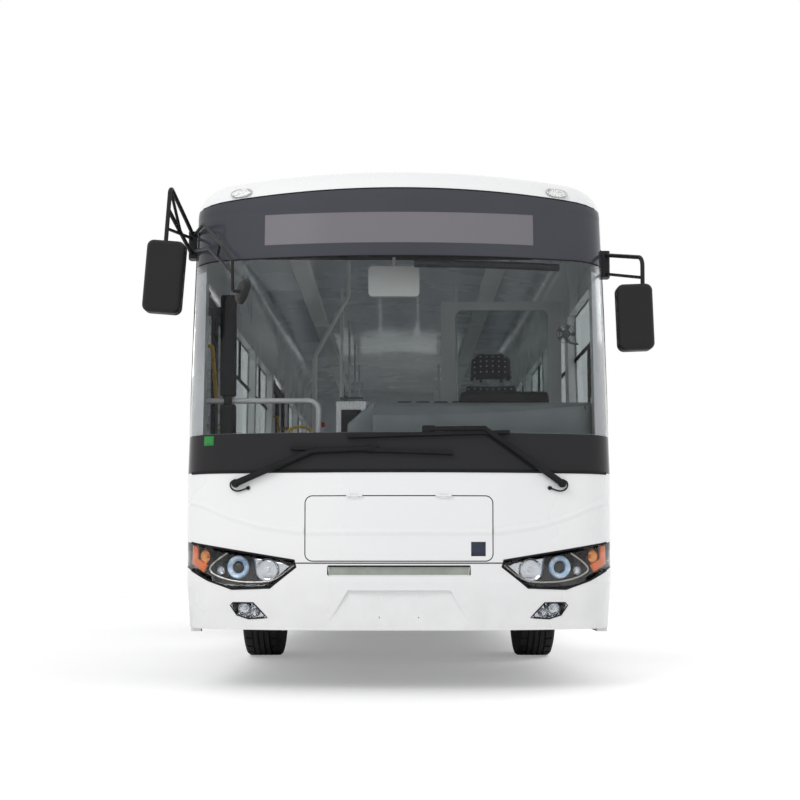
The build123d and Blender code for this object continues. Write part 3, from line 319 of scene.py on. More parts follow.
def rear_lens():
    """Moulded rear lamp lens: amber above, red in the middle, clear below, with fine flutes."""
    material, tree, shader, place = new_finish("rear_lens")
    height = part_of(tree, place, "Z")
    low, high = REAR_LENS_Z
    third = (high - low) / 3
    clear_top = low + third * REAR_LENS_CLEAR
    above = span(tree, height, high - third - REAR_LENS_FADE, high - third)
    clear = span(tree, height, clear_top + REAR_LENS_FADE, clear_top)
    stop_lamp = span(tree, height, STOP_LAMP_ABOVE, STOP_LAMP_ABOVE + 0.01)
    red = srgb(190, 18, 20)
    colour = blend_colour(tree, above, red, srgb(236, 120, 12))
    colour = blend_colour(tree, clear, colour, srgb(232, 232, 230))
    paint(tree, shader, stop_lamp, colour, red)
    raise_grain(tree, shader, ribs(tree, place, "X", FLUTE_PITCH), 0.002)
    set_sockets(shader, Roughness=0.12, Transmission_Weight=0.35, Coat_Weight=0.6)
    return material


def flecked_metal(name, colour, brushed, rough=(0.25, 0.4), axis=(1.0, 1.0, 1.0)):
    """Bare metal with fine uneven brushing."""
    material, tree, shader, place = new_finish(name)
    streaks = noise(tree, mapped(tree, place, axis), brushed, 6.0)
    dull = tuple(0.8 * part for part in colour[:3]) + (1.0,)
    paint(tree, shader, streaks, dull, colour)
    polish(tree, shader, streaks, *rough)
    set_sockets(shader, Metallic=1.0)
    return material


RAIL_CHANGE_X = -0.85
ENTRANCE_RAIL_Z = 1.73
ENTRANCE_RAIL_Y = FRONT_Y + 0.5


def rail_finish():
    """Grab rails: pale enamel in the aisle and the cab, yellow beside the doors."""
    material, tree, shader, place = new_finish("rail_enamel")
    cloud = noise(tree, place, 9.0)
    pale = blend_colour(tree, cloud, srgb(214, 216, 214), srgb(230, 231, 229))
    yellow = blend_colour(tree, cloud, srgb(222, 172, 24), srgb(232, 184, 34))
    beside = span(tree, part_of(tree, place, "X"), RAIL_CHANGE_X + 0.01, RAIL_CHANGE_X)
    low = span(tree, part_of(tree, place, "Z"), ENTRANCE_RAIL_Z + 0.01, ENTRANCE_RAIL_Z)
    front = span(tree, part_of(tree, place, "Y"), ENTRANCE_RAIL_Y + 0.02, ENTRANCE_RAIL_Y)
    beside = combine(tree, "SUBTRACT", beside, combine(tree, "MULTIPLY", low, front))
    paint(tree, shader, beside, pale, yellow)
    polish(tree, shader, cloud, 0.28, 0.42)
    return material


CAB_MIRROR_REACH = 0.4


def mirror_shells():
    """Mirror housings and arms: grained black outside, pale grey for the one inside the cab."""
    material, tree, shader, place = new_finish("mirror_shell")
    cloud = noise(tree, place, 8.0)
    black = blend_colour(tree, cloud, srgb(20, 20, 21), srgb(31, 31, 32))
    pale = blend_colour(tree, cloud, srgb(222, 224, 219), srgb(232, 234, 230))
    across = combine(tree, "ABSOLUTE", part_of(tree, place, "X"), 0.0)
    paint(tree, shader, span(tree, across, CAB_MIRROR_REACH + 0.01, CAB_MIRROR_REACH), black, pale)
    polish(tree, shader, cloud, 0.4, 0.55)
    raise_grain(tree, shader, noise(tree, place, 600.0), 0.0001)
    set_sockets(shader, Specular_IOR_Level=0.28)
    return material


WHITE = body_paint()
SCREEN_GLASS = windscreen_glass()
HEADER = header_glass()
SIGN = sign_face()
SIDE_GLASS = clear_glass("side_glass", srgb(214, 221, 220), srgb(202, 210, 210), bend=1.15)
DOOR_GLASS = clear_glass("door_glass", srgb(112, 118, 120), srgb(96, 104, 106), bend=1.3)
COVER = clear_glass("lamp_cover", srgb(252, 252, 252), srgb(246, 248, 250), 4.0, 1.03, 0.6)
FLOOR = speckled_floor()
REAR_LENS = rear_lens()
STEEL = grained("frame_steel", srgb(38, 39, 41), srgb(52, 53, 54), 6.0, (0.5, 0.7), 180.0, 0.0004)
TRIM = grained("cabin_panel", srgb(206, 208, 208), srgb(216, 217, 216), 3.0, (0.5, 0.62), 500.0, 0.0003)
DASH = grained("dash_plastic", srgb(120, 129, 130), srgb(134, 142, 142), 5.0, (0.55, 0.7), 700.0, 0.0002)
BLACK = grained("black_plastic", srgb(20, 20, 22), srgb(29, 29, 31), 8.0, (0.45, 0.6), 600.0, 0.00004,
                Specular_IOR_Level=0.2)
GLOSS_BLACK = grained("gloss_black", srgb(10, 10, 11), srgb(18, 18, 19), 5.0, (0.12, 0.2), 90.0, 0.0001)
RUBBER = grained("seal_rubber", srgb(20, 20, 20), srgb(30, 30, 30), 9.0, (0.65, 0.8), 400.0, 0.0001,
                 Specular_IOR_Level=0.25)
TYRE = grained("tyre_rubber", srgb(30, 30, 31), srgb(44, 43, 42), 7.0, (0.78, 0.92), 320.0, 0.0005)
RIM = grained("rim_paint", srgb(150, 152, 154), srgb(170, 171, 172), 8.0, (0.32, 0.45), 240.0, 0.0003,
              Metallic=0.6)
CAST = grained("cast_iron", srgb(52, 50, 48), srgb(70, 66, 62), 14.0, (0.6, 0.8), 220.0, 0.0008)
SPRING = grained("bellows_rubber", srgb(26, 26, 27), srgb(38, 38, 38), 7.0, (0.7, 0.85), 300.0, 0.0005)
SHELL = grained("seat_shell", srgb(46, 74, 118), srgb(54, 84, 128), 5.0, (0.4, 0.55), 500.0, 0.0004)
YELLOW = grained("rail_yellow", srgb(222, 172, 24), srgb(232, 184, 34), 9.0, (0.3, 0.42), 200.0, 0.0002)
PACK = grained("pack_paint", srgb(70, 74, 78), srgb(84, 88, 92), 4.0, (0.5, 0.65), 300.0, 0.0004)
ROOF_UNIT = grained("unit_white", srgb(226, 228, 229), srgb(236, 237, 237), 2.0, (0.4, 0.52), 200.0, 0.0002)
CLOTH = dotted_cloth("seat_cloth", srgb(40, 58, 96), srgb(126, 150, 190), 0.03)
DRIVER_CLOTH = dotted_cloth("driver_cloth", srgb(34, 36, 44), srgb(166, 168, 174), 0.042)
CHROME = flecked_metal("lamp_chrome", srgb(214, 216, 220), 30.0, (0.06, 0.14))
STAINLESS = flecked_metal("stainless_tube", srgb(196, 197, 198), 60.0, (0.22, 0.34), (1.0, 0.1, 0.1))
MIRROR = flecked_metal("mirror_glass", srgb(226, 230, 232), 3.0, (0.01, 0.03))
AMBER_CHROME = flecked_metal("amber_reflector", srgb(224, 152, 86), 40.0, (0.1, 0.2))
AMBER = grained("amber_lens", srgb(226, 96, 4), srgb(240, 116, 8), 30.0, (0.3, 0.4), 160.0, 0.0012)
BLUE_RING = grained("projector_ring", srgb(150, 186, 224), srgb(226, 238, 248), 26.0, (0.15, 0.3), 200.0,
                    0.0003, Metallic=0.2)
PALE_TRIM = grained("pale_trim", srgb(176, 170, 164), srgb(196, 190, 184), 20.0, (0.2, 0.3), 200.0, 0.0002,
                    Metallic=0.5)
RAILS = rail_finish()
MIRROR_SHELL = mirror_shells()
LAMP_DIFFUSER = grained("lamp_diffuser", srgb(238, 238, 234), srgb(244, 244, 241), 6.0, (0.5, 0.6), 300.0,
                        0.0003)
GREEN_PLATE = grained("green_plate", srgb(16, 122, 48), srgb(24, 134, 56), 40.0, (0.35, 0.45), 300.0, 0.0002)
BLUE_PLATE = grained("blue_plate", srgb(28, 36, 58), srgb(36, 44, 66), 40.0, (0.35, 0.45), 300.0, 0.0002)
BLIND = grained("blind_case", srgb(52, 55, 58), srgb(66, 69, 72), 30.0, (0.7, 0.85), 700.0, 0.0003)
STRAP = grained("strap_web", srgb(60, 62, 66), srgb(74, 76, 80), 60.0, (0.7, 0.85), 900.0, 0.0004)
SLOT_GREY = grained("slot_grey", srgb(150, 156, 148), srgb(166, 171, 163), 12.0, (0.4, 0.55), 260.0, 0.0003)

DOOR_LEAVES = ("front_door_fore", "front_door_aft", "middle_door_fore", "middle_door_aft")
FRONT_CORNERS = ("front_left", "front_right")
REAR_CORNERS = ("rear_left", "rear_right")
NODE_FINISH = {
    WHITE: ["left_wall", "right_wall", "skirts", "roof", "front_mask", "front_bumper", "front_header",
            "rear_wall", "front_hatch", "motor_door"],
    STEEL: ["underframe"],
    FLOOR: ["floor", "step_wells"],
    TRIM: ["wheel_boxes", "driver_partition"],
    SCREEN_GLASS: ["windscreen"],
    HEADER: ["header_glass"],
    SIDE_GLASS: ["windows"],
    DOOR_GLASS: [leaf + "_glass" for leaf in DOOR_LEAVES],
    REAR_LENS: ["rear_lamps"],
    BLACK: ["wipers", "steering_wheel"] + [leaf + "_leaf" for leaf in DOOR_LEAVES],
    MIRROR_SHELL: ["mirrors"],
    SIGN: ["destination_sign"],
    DASH: ["dashboard"],
    DRIVER_CLOTH: ["driver_seat"],
    CLOTH: ["seat_cushions"],
    SHELL: ["seat_backs"],
    RAILS: ["grab_rails"],
    CAST: ["front_axle", "rear_axle", "left_knuckle", "right_knuckle"],
    SPRING: ["air_springs"],
    PACK: ["battery_packs", "drive_motor"],
    ROOF_UNIT: ["roof_units"],
    TYRE: [corner + "_tyre" for corner in FRONT_CORNERS] + [corner + "_tyres" for corner in REAR_CORNERS],
    RIM: [corner + "_rim" for corner in FRONT_CORNERS + REAR_CORNERS],
    STAINLESS: ["fare_box"] + [leaf + "_post" for leaf in DOOR_LEAVES],
    COVER: ["front_lamps"],
}
for finish, names in NODE_FINISH.items():
    for name in names:
        NODES[name].data.materials.clear()
        NODES[name].data.materials.append(finish)


# Building helpers

def skin_tree(names):
    """Search tree over the faces of some nodes, for putting pieces on their surface."""
    points = []
    faces = []
    for name in names:
        start = len(points)
        mesh = NODES[name].data
        points.extend(vertex.co.copy() for vertex in mesh.vertices)
        faces.extend([start + index for index in face.vertices] for face in mesh.polygons)
    return BVHTree.FromPolygons(points, faces)


SKIN = skin_tree(SKIN_NODES)


def on_front(x, z):
    """Point of the front skin at a place across and a height."""
    return SKIN.ray_cast(Vector((x, -FAR, z)), Vector((0, 1, 0)))[0]


def on_rear(x, z):
    """Point of the rear skin."""
    return SKIN.ray_cast(Vector((x, FAR, z)), Vector((0, -1, 0)))[0]


def on_side(side, y, z):
    """Point of the left (1) or right (-1) skin."""
    return SKIN.ray_cast(Vector((side * FAR, y, z)), Vector((-side, 0, 0)))[0]


def islands(node):
    """Lowest and highest corners of each separate solid of a node."""
    mesh = bmesh.new()
    mesh.from_mesh(NODES[node].data)
    bmesh.ops.remove_doubles(mesh, verts=mesh.verts, dist=MERGE_GAP)
    left = set(mesh.verts)
    found = []
    while left:
        reached = [left.pop()]
        low = reached[0].co.copy()
        high = reached[0].co.copy()
        while reached:
            vertex = reached.pop()
            low = Vector(map(min, low, vertex.co))
            high = Vector(map(max, high, vertex.co))
            for edge in vertex.link_edges:
                other = edge.other_vert(vertex)
                if other in left:
                    left.discard(other)
                    reached.append(other)
        found.append((low, high))
    mesh.free()
    return sorted(found, key=lambda corners: tuple(round(part, 3) for part in corners[0]))


def finish_piece(name, mesh, finish, body="bus", angle=35.0, turn=True):
    """Turn a bmesh into a shown piece that rides on a body."""
    if turn:
        bmesh.ops.recalc_face_normals(mesh, faces=mesh.faces)
    data = bpy.data.meshes.new(name)
    mesh.to_mesh(data)
    mesh.free()
    data.shade_smooth()
    data.set_sharp_from_angle(angle=radians(angle))
    data.materials.append(finish)
    piece = bpy.data.objects.new(name, data)
    bpy.context.scene.collection.objects.link(piece)
    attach(piece, body)
    return piece


def take_in(mesh, other):
    """Add the faces of another bmesh to one, and free it."""
    form = bpy.data.meshes.new("form")
    other.to_mesh(form)
    other.free()
    mesh.from_mesh(form)
    bpy.data.meshes.remove(form)


def edges_of(verts):
    """Edges that join the given vertices."""
    inside = set(verts)
    return list({edge for vert in verts for edge in vert.link_edges if edge.other_vert(vert) in inside})


def add_block(mesh, low, high, edge=0.0, segments=2):
    """Block between two opposite corners, with rounded edges."""
    verts = bmesh.ops.create_cube(mesh, size=1.0)["verts"]
    foot = Vector(map(min, low, high))
    head = Vector(map(max, low, high))
    bmesh.ops.scale(mesh, vec=head - foot, verts=verts)
    bmesh.ops.translate(mesh, vec=(foot + head) / 2, verts=verts)
    if edge:
        bmesh.ops.bevel(mesh, geom=edges_of(verts), offset=edge, segments=segments, profile=0.5,
                        affect="EDGES", material=-1)


def add_drum(mesh, start, end, radius, radius_end=None, sides=24, edge=0.0):
    """Round bar or cone between two points."""
    start = Vector(start)
    end = Vector(end)
    along = end - start
    turn = along.to_track_quat("Z", "Y").to_matrix().to_4x4()
    place = Matrix.Translation((start + end) / 2) @ turn
    last = radius if radius_end is None else radius_end
    verts = bmesh.ops.create_cone(mesh, cap_ends=True, segments=sides, radius1=radius, radius2=last,
                                  depth=along.length, matrix=place)["verts"]
    if edge:
        caps = [face for face in {face for vert in verts for face in vert.link_faces} if len(face.verts) > 4]
        rims = list({one for face in caps for one in face.edges})
        bmesh.ops.bevel(mesh, geom=rims, offset=edge, segments=2, profile=0.5, affect="EDGES", material=-1)


def add_spun(mesh, profile, centre, axis, steps=48):
    """Ring turned about an axis from (along, radius) points."""
    axis = Vector(axis)
    side = axis.orthogonal().normalized()
    centre = Vector(centre)
    verts = [mesh.verts.new(centre + axis * along + side * radius) for along, radius in profile]
    edges = [mesh.edges.new(pair) for pair in zip(verts[:-1], verts[1:])]
    bmesh.ops.spin(mesh, geom=verts + edges, cent=centre, axis=axis, angle=2 * pi, steps=steps,
                   use_merge=True)
    bmesh.ops.remove_doubles(mesh, verts=mesh.verts, dist=MERGE_GAP)


def add_tube(mesh, points, radius, sides=10, radius_end=None):
    """Round tube along a line of points, of even width or tapering to its end."""
    points = [Vector(point) for point in points]
    last = radius if radius_end is None else radius_end
    rings = []
    for index, point in enumerate(points):
        before = points[max(index - 1, 0)]
        after = points[min(index + 1, len(points) - 1)]
        turn = (after - before).to_track_quat("Z", "Y").to_matrix().to_4x4()
        reach = radius + (last - radius) * index / (len(points) - 1)
        place = Matrix.Translation(point) @ turn
        made = bmesh.ops.create_circle(mesh, segments=sides, radius=reach, matrix=place)
        rings.append(edges_of(made["verts"]))
    for first, second in zip(rings[:-1], rings[1:]):
        bmesh.ops.bridge_loops(mesh, edges=first + second)
    for ring in (rings[0], rings[-1]):
        bmesh.ops.contextual_create(mesh, geom=ring)


def outline_face(mesh, points, corner=0.0, segments=5):
    """Flat face from corner points, with its corners rounded."""
    face = mesh.faces.new([mesh.verts.new(point) for point in points])
    if corner:
        bmesh.ops.bevel(mesh, geom=list(face.verts), offset=corner, segments=segments, profile=0.5,
                        affect="VERTICES", material=-1)
        mesh.faces.ensure_lookup_table()
        face = max(mesh.faces, key=lambda one: len(one.verts))
    return face


def smooth_line(points, steps=6):
    """Points along a soft curve through the given ones."""
    points = [Vector(point) for point in points]
    line = []
    for index in range(len(points) - 1):
        before = points[max(index - 1, 0)]
        start = points[index]
        end = points[index + 1]
        after = points[min(index + 2, len(points) - 1)]
        for step in range(steps):
            t = step / steps
            bend = 2 * before - 5 * start + 4 * end - after
            twist = 3 * start - before - 3 * end + after
            line.append(0.5 * (2 * start + (end - before) * t + bend * t * t + twist * t ** 3))
    line.append(points[-1])
    return line


def thicken(mesh, depth):
    """Push all the faces of a flat sheet backwards, to make a plate."""
    pushed = bmesh.ops.extrude_face_region(mesh, geom=mesh.faces)["geom"]
    moved = [one for one in pushed if isinstance(one, bmesh.types.BMVert)]
    bmesh.ops.translate(mesh, vec=(0.0, depth, 0.0), verts=moved)


# Headlamps, fog lamps and marker lamps

COVER_WALL = 0.003
MARKER_WALL = 0.002
HOUSING_WALL = 0.0015
LAMP_INSET = 0.026
LENS_FORWARD = 0.2
LENS_SIDEWAYS = 0.6
FOG_TOP = 0.54
MARKER_FOOT = 2.0


def faces_outwards(face):
    """Whether a lamp's face belongs to its lens and not to its sides or back."""
    side = 1 if face.calc_center_median().x > 0 else -1
    return face.normal.y < -LENS_FORWARD or face.normal.x * side > LENS_SIDEWAYS


def give_wall(piece, thickness):
    """Thickness behind the faces of an open sheet."""
    wall = piece.modifiers.new("wall", "SOLIDIFY")
    wall.thickness = thickness
    wall.offset = -1.0


def lamp_shell(name, finish, outer, wall, low, high):
    """Lens or housing of the front lamps between two heights, from the faces of the solids."""
    mesh = bmesh.new()
    mesh.from_mesh(NODES["front_lamps"].data)
    bmesh.ops.remove_doubles(mesh, verts=mesh.verts, dist=MERGE_GAP)
    unwanted = []
    for face in mesh.faces:
        if not low < face.calc_center_median().z < high or faces_outwards(face) != outer:
            unwanted.append(face)
    bmesh.ops.delete(mesh, geom=unwanted, context="FACES")
    piece = finish_piece(name, mesh, finish, turn=False)
    give_wall(piece, wall)
    return piece


def skin_frame(x, z, inset):
    """Place behind the front skin at a point, and the skin's outward direction there."""
    point, normal, _, _ = SKIN.ray_cast(Vector((x, -FAR, z)), Vector((0, 1, 0)))
    return point - normal * inset, normal


def face_forwards(mesh):
    """Turn the faces of a sheet on the front outwards."""
    bmesh.ops.recalc_face_normals(mesh, faces=mesh.faces)
    if sum(face.normal.y for face in mesh.faces) > 0:
        bmesh.ops.reverse_faces(mesh, faces=mesh.faces)


def on_half(side, outline):
    """Outline of (x, z) points put on the left (1) or right (-1) half of the front."""
    return [(side * x, z) for x, z in outline]


def draped_plate(name, outline, inset, thickness, finish, cuts=3, body="bus"):
    """Plate of a flat outline laid on the front skin."""
    mesh = bmesh.new()
    mesh.faces.new([mesh.verts.new((x, 0.0, z)) for x, z in outline])
    bmesh.ops.triangulate(mesh, faces=mesh.faces)
    bmesh.ops.subdivide_edges(mesh, edges=mesh.edges, cuts=cuts, use_grid_fill=True)
    for vert in mesh.verts:
        vert.co = skin_frame(vert.co.x, vert.co.z, inset)[0]
    face_forwards(mesh)
    give_wall(finish_piece(name, mesh, finish, body, turn=False), thickness)


PROJECTOR = (0.922, 0.702)
HIGH_BEAM = (0.748, 0.688, 0.066)
HIGH_BEAM_FORWARD = 0.008
SIDE_LIGHT = (1.022, 0.683, 0.025)
TURN_LIGHT = (1.128, 0.762, 0.04)
FOG_BOWLS = ((0.885, 0.466, 0.036), (0.826, 0.444, 0.024))
FACETS = 12
HIGH_BEAM_FACETS = 14
BULB_RUN = (0.016, 0.002)
BULB_SHARES = (0.27, 0.2)
BULB_EDGE = 0.002
TRIM_LINE = ((0.985, 0.782), (1.094, 0.69), (0.955, 0.627), (0.735, 0.625), (0.592, 0.716))
TRIM_LINE_INSET = 0.02
TRIM_LINE_R = 0.005
AMBER_OUTLINE = ((1.214, 0.826), (1.176, 0.82), (1.172, 0.748), (1.105, 0.714), (1.13, 0.672), (1.214, 0.722))
AMBER_INSET = 0.014
AMBER_WALL = 0.01
REFLECTOR_OUTLINE = ((0.835, 0.762), (0.655, 0.734), (0.618, 0.712), (0.7, 0.64), (0.815, 0.634))
REFLECTOR_WALL = 0.002
FACET_ANGLE = 12.0
RING_PROFILE = ((-0.012, 0.064), (0.004, 0.064), (0.012, 0.057), (0.008, 0.045), (-0.002, 0.035),
                (-0.014, 0.033))
DOME_PROFILE = ((-0.012, 0.034), (-0.004, 0.031), (0.004, 0.024), (0.009, 0.014), (0.011, 0.0))
BOWL_PROFILE = ((0.004, 1.0), (0.0, 0.97), (-0.006, 0.84), (-0.011, 0.66), (-0.014, 0.42), (-0.015, 0.26))
MARKER_MARGIN = 0.003
MARKER_RING_R = 0.0045
MARKER_STEPS = 32


def add_bowl(mesh, side, bowl, facets=FACETS, inset=LAMP_INSET):
    """Faceted reflector bowl with its bulb, from its place across, its height and its radius."""
    x, z, radius = bowl
    place, out = skin_frame(side * x, z, inset)
    add_spun(mesh, [(along, radius * share) for along, share in BOWL_PROFILE], place, out, facets)
    foot, tip = (radius * share for share in BULB_SHARES)
    add_drum(mesh, place - out * BULB_RUN[0], place - out * BULB_RUN[1], foot, tip, 16, BULB_EDGE)


def marker_oval(low, high):
    """Points on the skin round a marker lamp, the first one repeated at the end."""
    middle = (low + high) / 2
    half_x = (high.x - low.x) / 2 + MARKER_MARGIN
    half_z = (high.z - low.z) / 2 + MARKER_MARGIN
    points = []
    for k in range(MARKER_STEPS + 1):
        angle = 2 * pi * k / MARKER_STEPS
        points.append(skin_frame(middle.x + half_x * cos(angle), middle.z + half_z * sin(angle), 0.0)[0])
    return points


def headlamps():
    """Covers, housings and everything inside the front lamps."""
    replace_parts(lamp_shell("lamp_covers", COVER, True, COVER_WALL, 0.0, MARKER_FOOT), "front_lamps")
    lamp_shell("lamp_housings", GLOSS_BLACK, False, HOUSING_WALL, FOG_TOP, MARKER_FOOT)
    lamp_shell("fog_housings", CHROME, False, HOUSING_WALL, 0.0, FOG_TOP)
    lamp_shell("marker_covers", COVER, True, MARKER_WALL, MARKER_FOOT, FAR)
    lamp_shell("marker_rims", LAMP_DIFFUSER, False, HOUSING_WALL, MARKER_FOOT, FAR)
    chrome = bmesh.new()
    warm = bmesh.new()
    ring = bmesh.new()
    dark = bmesh.new()
    trim = bmesh.new()
    for side, half in ((-1, "right"), (1, "left")):
        place, out = skin_frame(side * PROJECTOR[0], PROJECTOR[1], LAMP_INSET)
        add_spun(ring, RING_PROFILE, place, out, 40)
        add_spun(dark, DOME_PROFILE, place, out, 32)
        add_bowl(chrome, side, HIGH_BEAM, HIGH_BEAM_FACETS, LAMP_INSET - HIGH_BEAM_FORWARD)
        add_bowl(chrome, side, SIDE_LIGHT)
        add_bowl(warm, side, TURN_LIGHT)
        for bowl in FOG_BOWLS:
            add_bowl(chrome, side, bowl)
        line = smooth_line([(x, 0.0, z) for x, z in on_half(side, TRIM_LINE)], 5)
        add_tube(trim, [skin_frame(point.x, point.z, TRIM_LINE_INSET)[0] for point in line], TRIM_LINE_R, 8)
        amber = on_half(side, AMBER_OUTLINE)
        draped_plate("turn_lens_" + half, amber, AMBER_INSET, AMBER_WALL, AMBER, 4)
        around = on_half(side, REFLECTOR_OUTLINE)
        draped_plate("beam_plate_" + half, around, LAMP_INSET, REFLECTOR_WALL, CHROME, 4)
    finish_piece("turn_reflectors", warm, AMBER_CHROME, angle=FACET_ANGLE)
    finish_piece("lamp_reflectors", chrome, CHROME, angle=FACET_ANGLE)
    finish_piece("projector_rings", ring, BLUE_RING)
    finish_piece("projector_lenses", dark, GLOSS_BLACK)
    finish_piece("lamp_trim_lines", trim, PALE_TRIM)
    rims = bmesh.new()
    for low, high in islands("front_lamps"):
        if low.z > MARKER_FOOT:
            add_tube(rims, marker_oval(low, high), MARKER_RING_R, 8)
    finish_piece("marker_rings", rims, CHROME)


headlamps()


# Seams and seals on the front

SEAM_R = 0.0032
SEAM_HALF = 0.6
# Radius and half length.
SCREEN_FOOT_SEAL = (0.009, 1.2)
SCREEN_HEAD_SEAL = (0.004, 1.185)
HEADER_HALF = 1.165
HEADER_SEAL_R = 0.004
HEADER_SEAL_DROP = 0.001
CROWN_R = 11.0
CROWN_STEPS = 20
FOG_SEAL_R = 0.004
FOG_SEAL = ((0.943, 0.502), (0.825, 0.502), (0.744, 0.419), (0.852, 0.412), (0.92, 0.433), (0.957, 0.487),
            (0.943, 0.502))
LAMP_SEAL_R = 0.006
LAMP_SEAL = ((1.2, 0.842), (0.95, 0.8), (0.592, 0.7425), (0.582, 0.705), (0.73, 0.588), (0.95, 0.58),
             (1.09, 0.627), (1.2, 0.682))
LINE_GAP = 0.03


def front_line(points):
    """Points on the front skin along a run of (x, z) points, close enough to follow its curve."""
    line = []
    for (x0, z0), (x1, z1) in zip(points[:-1], points[1:]):
        count = max(1, round(Vector((x1 - x0, z1 - z0)).length / LINE_GAP))
        line.extend((x0 + (x1 - x0) * k / count, z0 + (z1 - z0) * k / count) for k in range(count))
    line.append(points[-1])
    return [skin_frame(x, z, 0.0)[0] for x, z in line]


def front_seals():
    """Rubber round the screen and lamps, and the dark gaps between the front panels."""
    seal = bmesh.new()
    for corner, (radius, half) in zip(SCREEN_BOX, (SCREEN_FOOT_SEAL, SCREEN_HEAD_SEAL)):
        add_tube(seal, front_line(((-half, corner.z), (half, corner.z))), radius)
    header_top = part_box("header_glass")[1].z - HEADER_SEAL_DROP
    crown = [HEADER_HALF * k / CROWN_STEPS for k in range(-CROWN_STEPS, CROWN_STEPS + 1)]
    add_tube(seal, [skin_frame(x, header_top - x * x / (2 * CROWN_R), 0.0)[0] for x in crown], HEADER_SEAL_R)
    seam_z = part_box("front_mask")[0].z
    add_tube(seal, front_line(((-SEAM_HALF, seam_z), (SEAM_HALF, seam_z))), SEAM_R, 8)
    for side in (-1, 1):
        add_tube(seal, front_line(on_half(side, LAMP_SEAL)), LAMP_SEAL_R, 8)
        add_tube(seal, front_line(on_half(side, FOG_SEAL)), FOG_SEAL_R, 8)
    finish_piece("front_seals", seal, RUBBER)


front_seals()

SLOT_HALF = 0.392
SLOT_Z = (0.661, 0.709)
SLOT_INSET = 0.016
SLOT_PANEL_T = 0.012
SLOT_SIDE = 0.02
SLOT_SHADE_OUT = 0.007
SLOT_SHADE_R = 0.004


def slot_panel():
    """Pale panel with rounded edges set in the slot of the bumper, and a dark line round its sides and top that
    is painted shade along the edge of the recess.
    """
    mesh = bmesh.new()
    low, high = SLOT_Z
    front = on_front(SLOT_HALF + SLOT_SIDE, low).y + SLOT_INSET
    add_block(mesh, (-SLOT_HALF, front, low), (SLOT_HALF, front + SLOT_PANEL_T, high), 0.005, 3)
    finish_piece("slot_panel", mesh, SLOT_GREY)
    # Dark rubber tube round the sides and top of the slot: painted shade of the recess edge.
    rim = bmesh.new()
    half = SLOT_HALF + SLOT_SHADE_OUT
    line = ((-half, low), (-half, high), (half, high), (half, low))
    add_tube(rim, [(x, front, z) for x, z in line], SLOT_SHADE_R, 8)
    finish_piece("slot_shade_line", rim, RUBBER)


slot_panel()


# Tyres with road tread, and wheel nuts

TREAD_STEPS = 90
TREAD_DEPTH = 0.011
TREAD_REACH = 0.46
GROOVE_HALF = 0.006
GROOVE_FOOT = 0.0045
GROOVES = (-0.062, -0.021, 0.021, 0.062)
BEAD_R = 0.2862
SIDEWALL = ((0.028, 0.0), (0.012, 0.012), (0.002, 0.055), (0.0, 0.09), (0.004, 0.12), (0.006, 0.124))
SHOULDER = ((0.006, 0.034), (0.012, 0.014), (0.026, 0.002))
BLOCK_OUT = 0.106
BLOCK_IN = 0.07
BLOCK_STEP = 3
BLOCK_EDGE = 0.003
BLOCK_CUT = 0.8 * TREAD_DEPTH


def tyre_profile(radius, half):
    """Closed section of a tyre from bead to bead, with four grooves round the tread."""
    left = [(-half + inner, BEAD_R + up) for inner, up in SIDEWALL]
    left += [(-half + inner, radius - down) for inner, down in SHOULDER]
    tread = []
    for groove in GROOVES:
        tread += [(groove - GROOVE_HALF, radius), (groove - GROOVE_FOOT, radius - TREAD_DEPTH),
                  (groove + GROOVE_FOOT, radius - TREAD_DEPTH), (groove + GROOVE_HALF, radius)]
    right = [(-along, reach) for along, reach in reversed(left)]
    return left + tread + right + left[:1]


def cut_shoulders(mesh, centre):
    """Slots across the outer ribs, one for every few steps round."""
    slots = []
    for face in mesh.faces:
        middle = face.calc_center_median() - centre
        spoke = Vector((middle.y, middle.z))
        if spoke.length > TREAD_REACH and BLOCK_IN < abs(middle.x) < BLOCK_OUT:
            turn = Vector((0, 1)).angle_signed(spoke) + pi
            if round(turn / (2 * pi) * TREAD_STEPS) % BLOCK_STEP == 0:
                slots.append(face)
    bmesh.ops.inset_individual(mesh, faces=slots, thickness=BLOCK_EDGE, depth=0.0)
    for face in bmesh.ops.extrude_discrete_faces(mesh, faces=slots)["faces"]:
        middle = face.calc_center_median() - centre
        inward = -Vector((0, middle.y, middle.z)).normalized()
        bmesh.ops.translate(mesh, vec=inward * BLOCK_CUT, verts=face.verts)


def dress_tyres(name, node, body):
    """Treaded tyres that stand for a node of one or two tyres."""
    mesh = bmesh.new()
    for low, high in islands(node):
        centre = (low + high) / 2
        tyre = bmesh.new()
        profile = tyre_profile((high.z - low.z) / 2, (high.x - low.x) / 2)
        add_spun(tyre, profile, centre, (1, 0, 0), TREAD_STEPS)
        bmesh.ops.recalc_face_normals(tyre, faces=tyre.faces)
        cut_shoulders(tyre, centre)
        take_in(mesh, tyre)
    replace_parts(finish_piece(name, mesh, TYRE, body, 30.0), node)


for corner in FRONT_CORNERS:
    dress_tyres(corner + "_tread", corner + "_tyre", corner + "_wheel")
for corner in REAR_CORNERS:
    dress_tyres(corner + "_treads", corner + "_tyres", corner + "_wheel")

NUT_COUNT = 10
NUT_CIRCLE = 0.14
# Height, radius, sides and edge of each part.
WASHER = (0.006, 0.02125, 20, 0.001)
NUT = (0.026, 0.017, 6, 0.0015)
STUD = (0.036, 0.00935, 12, 0.001)


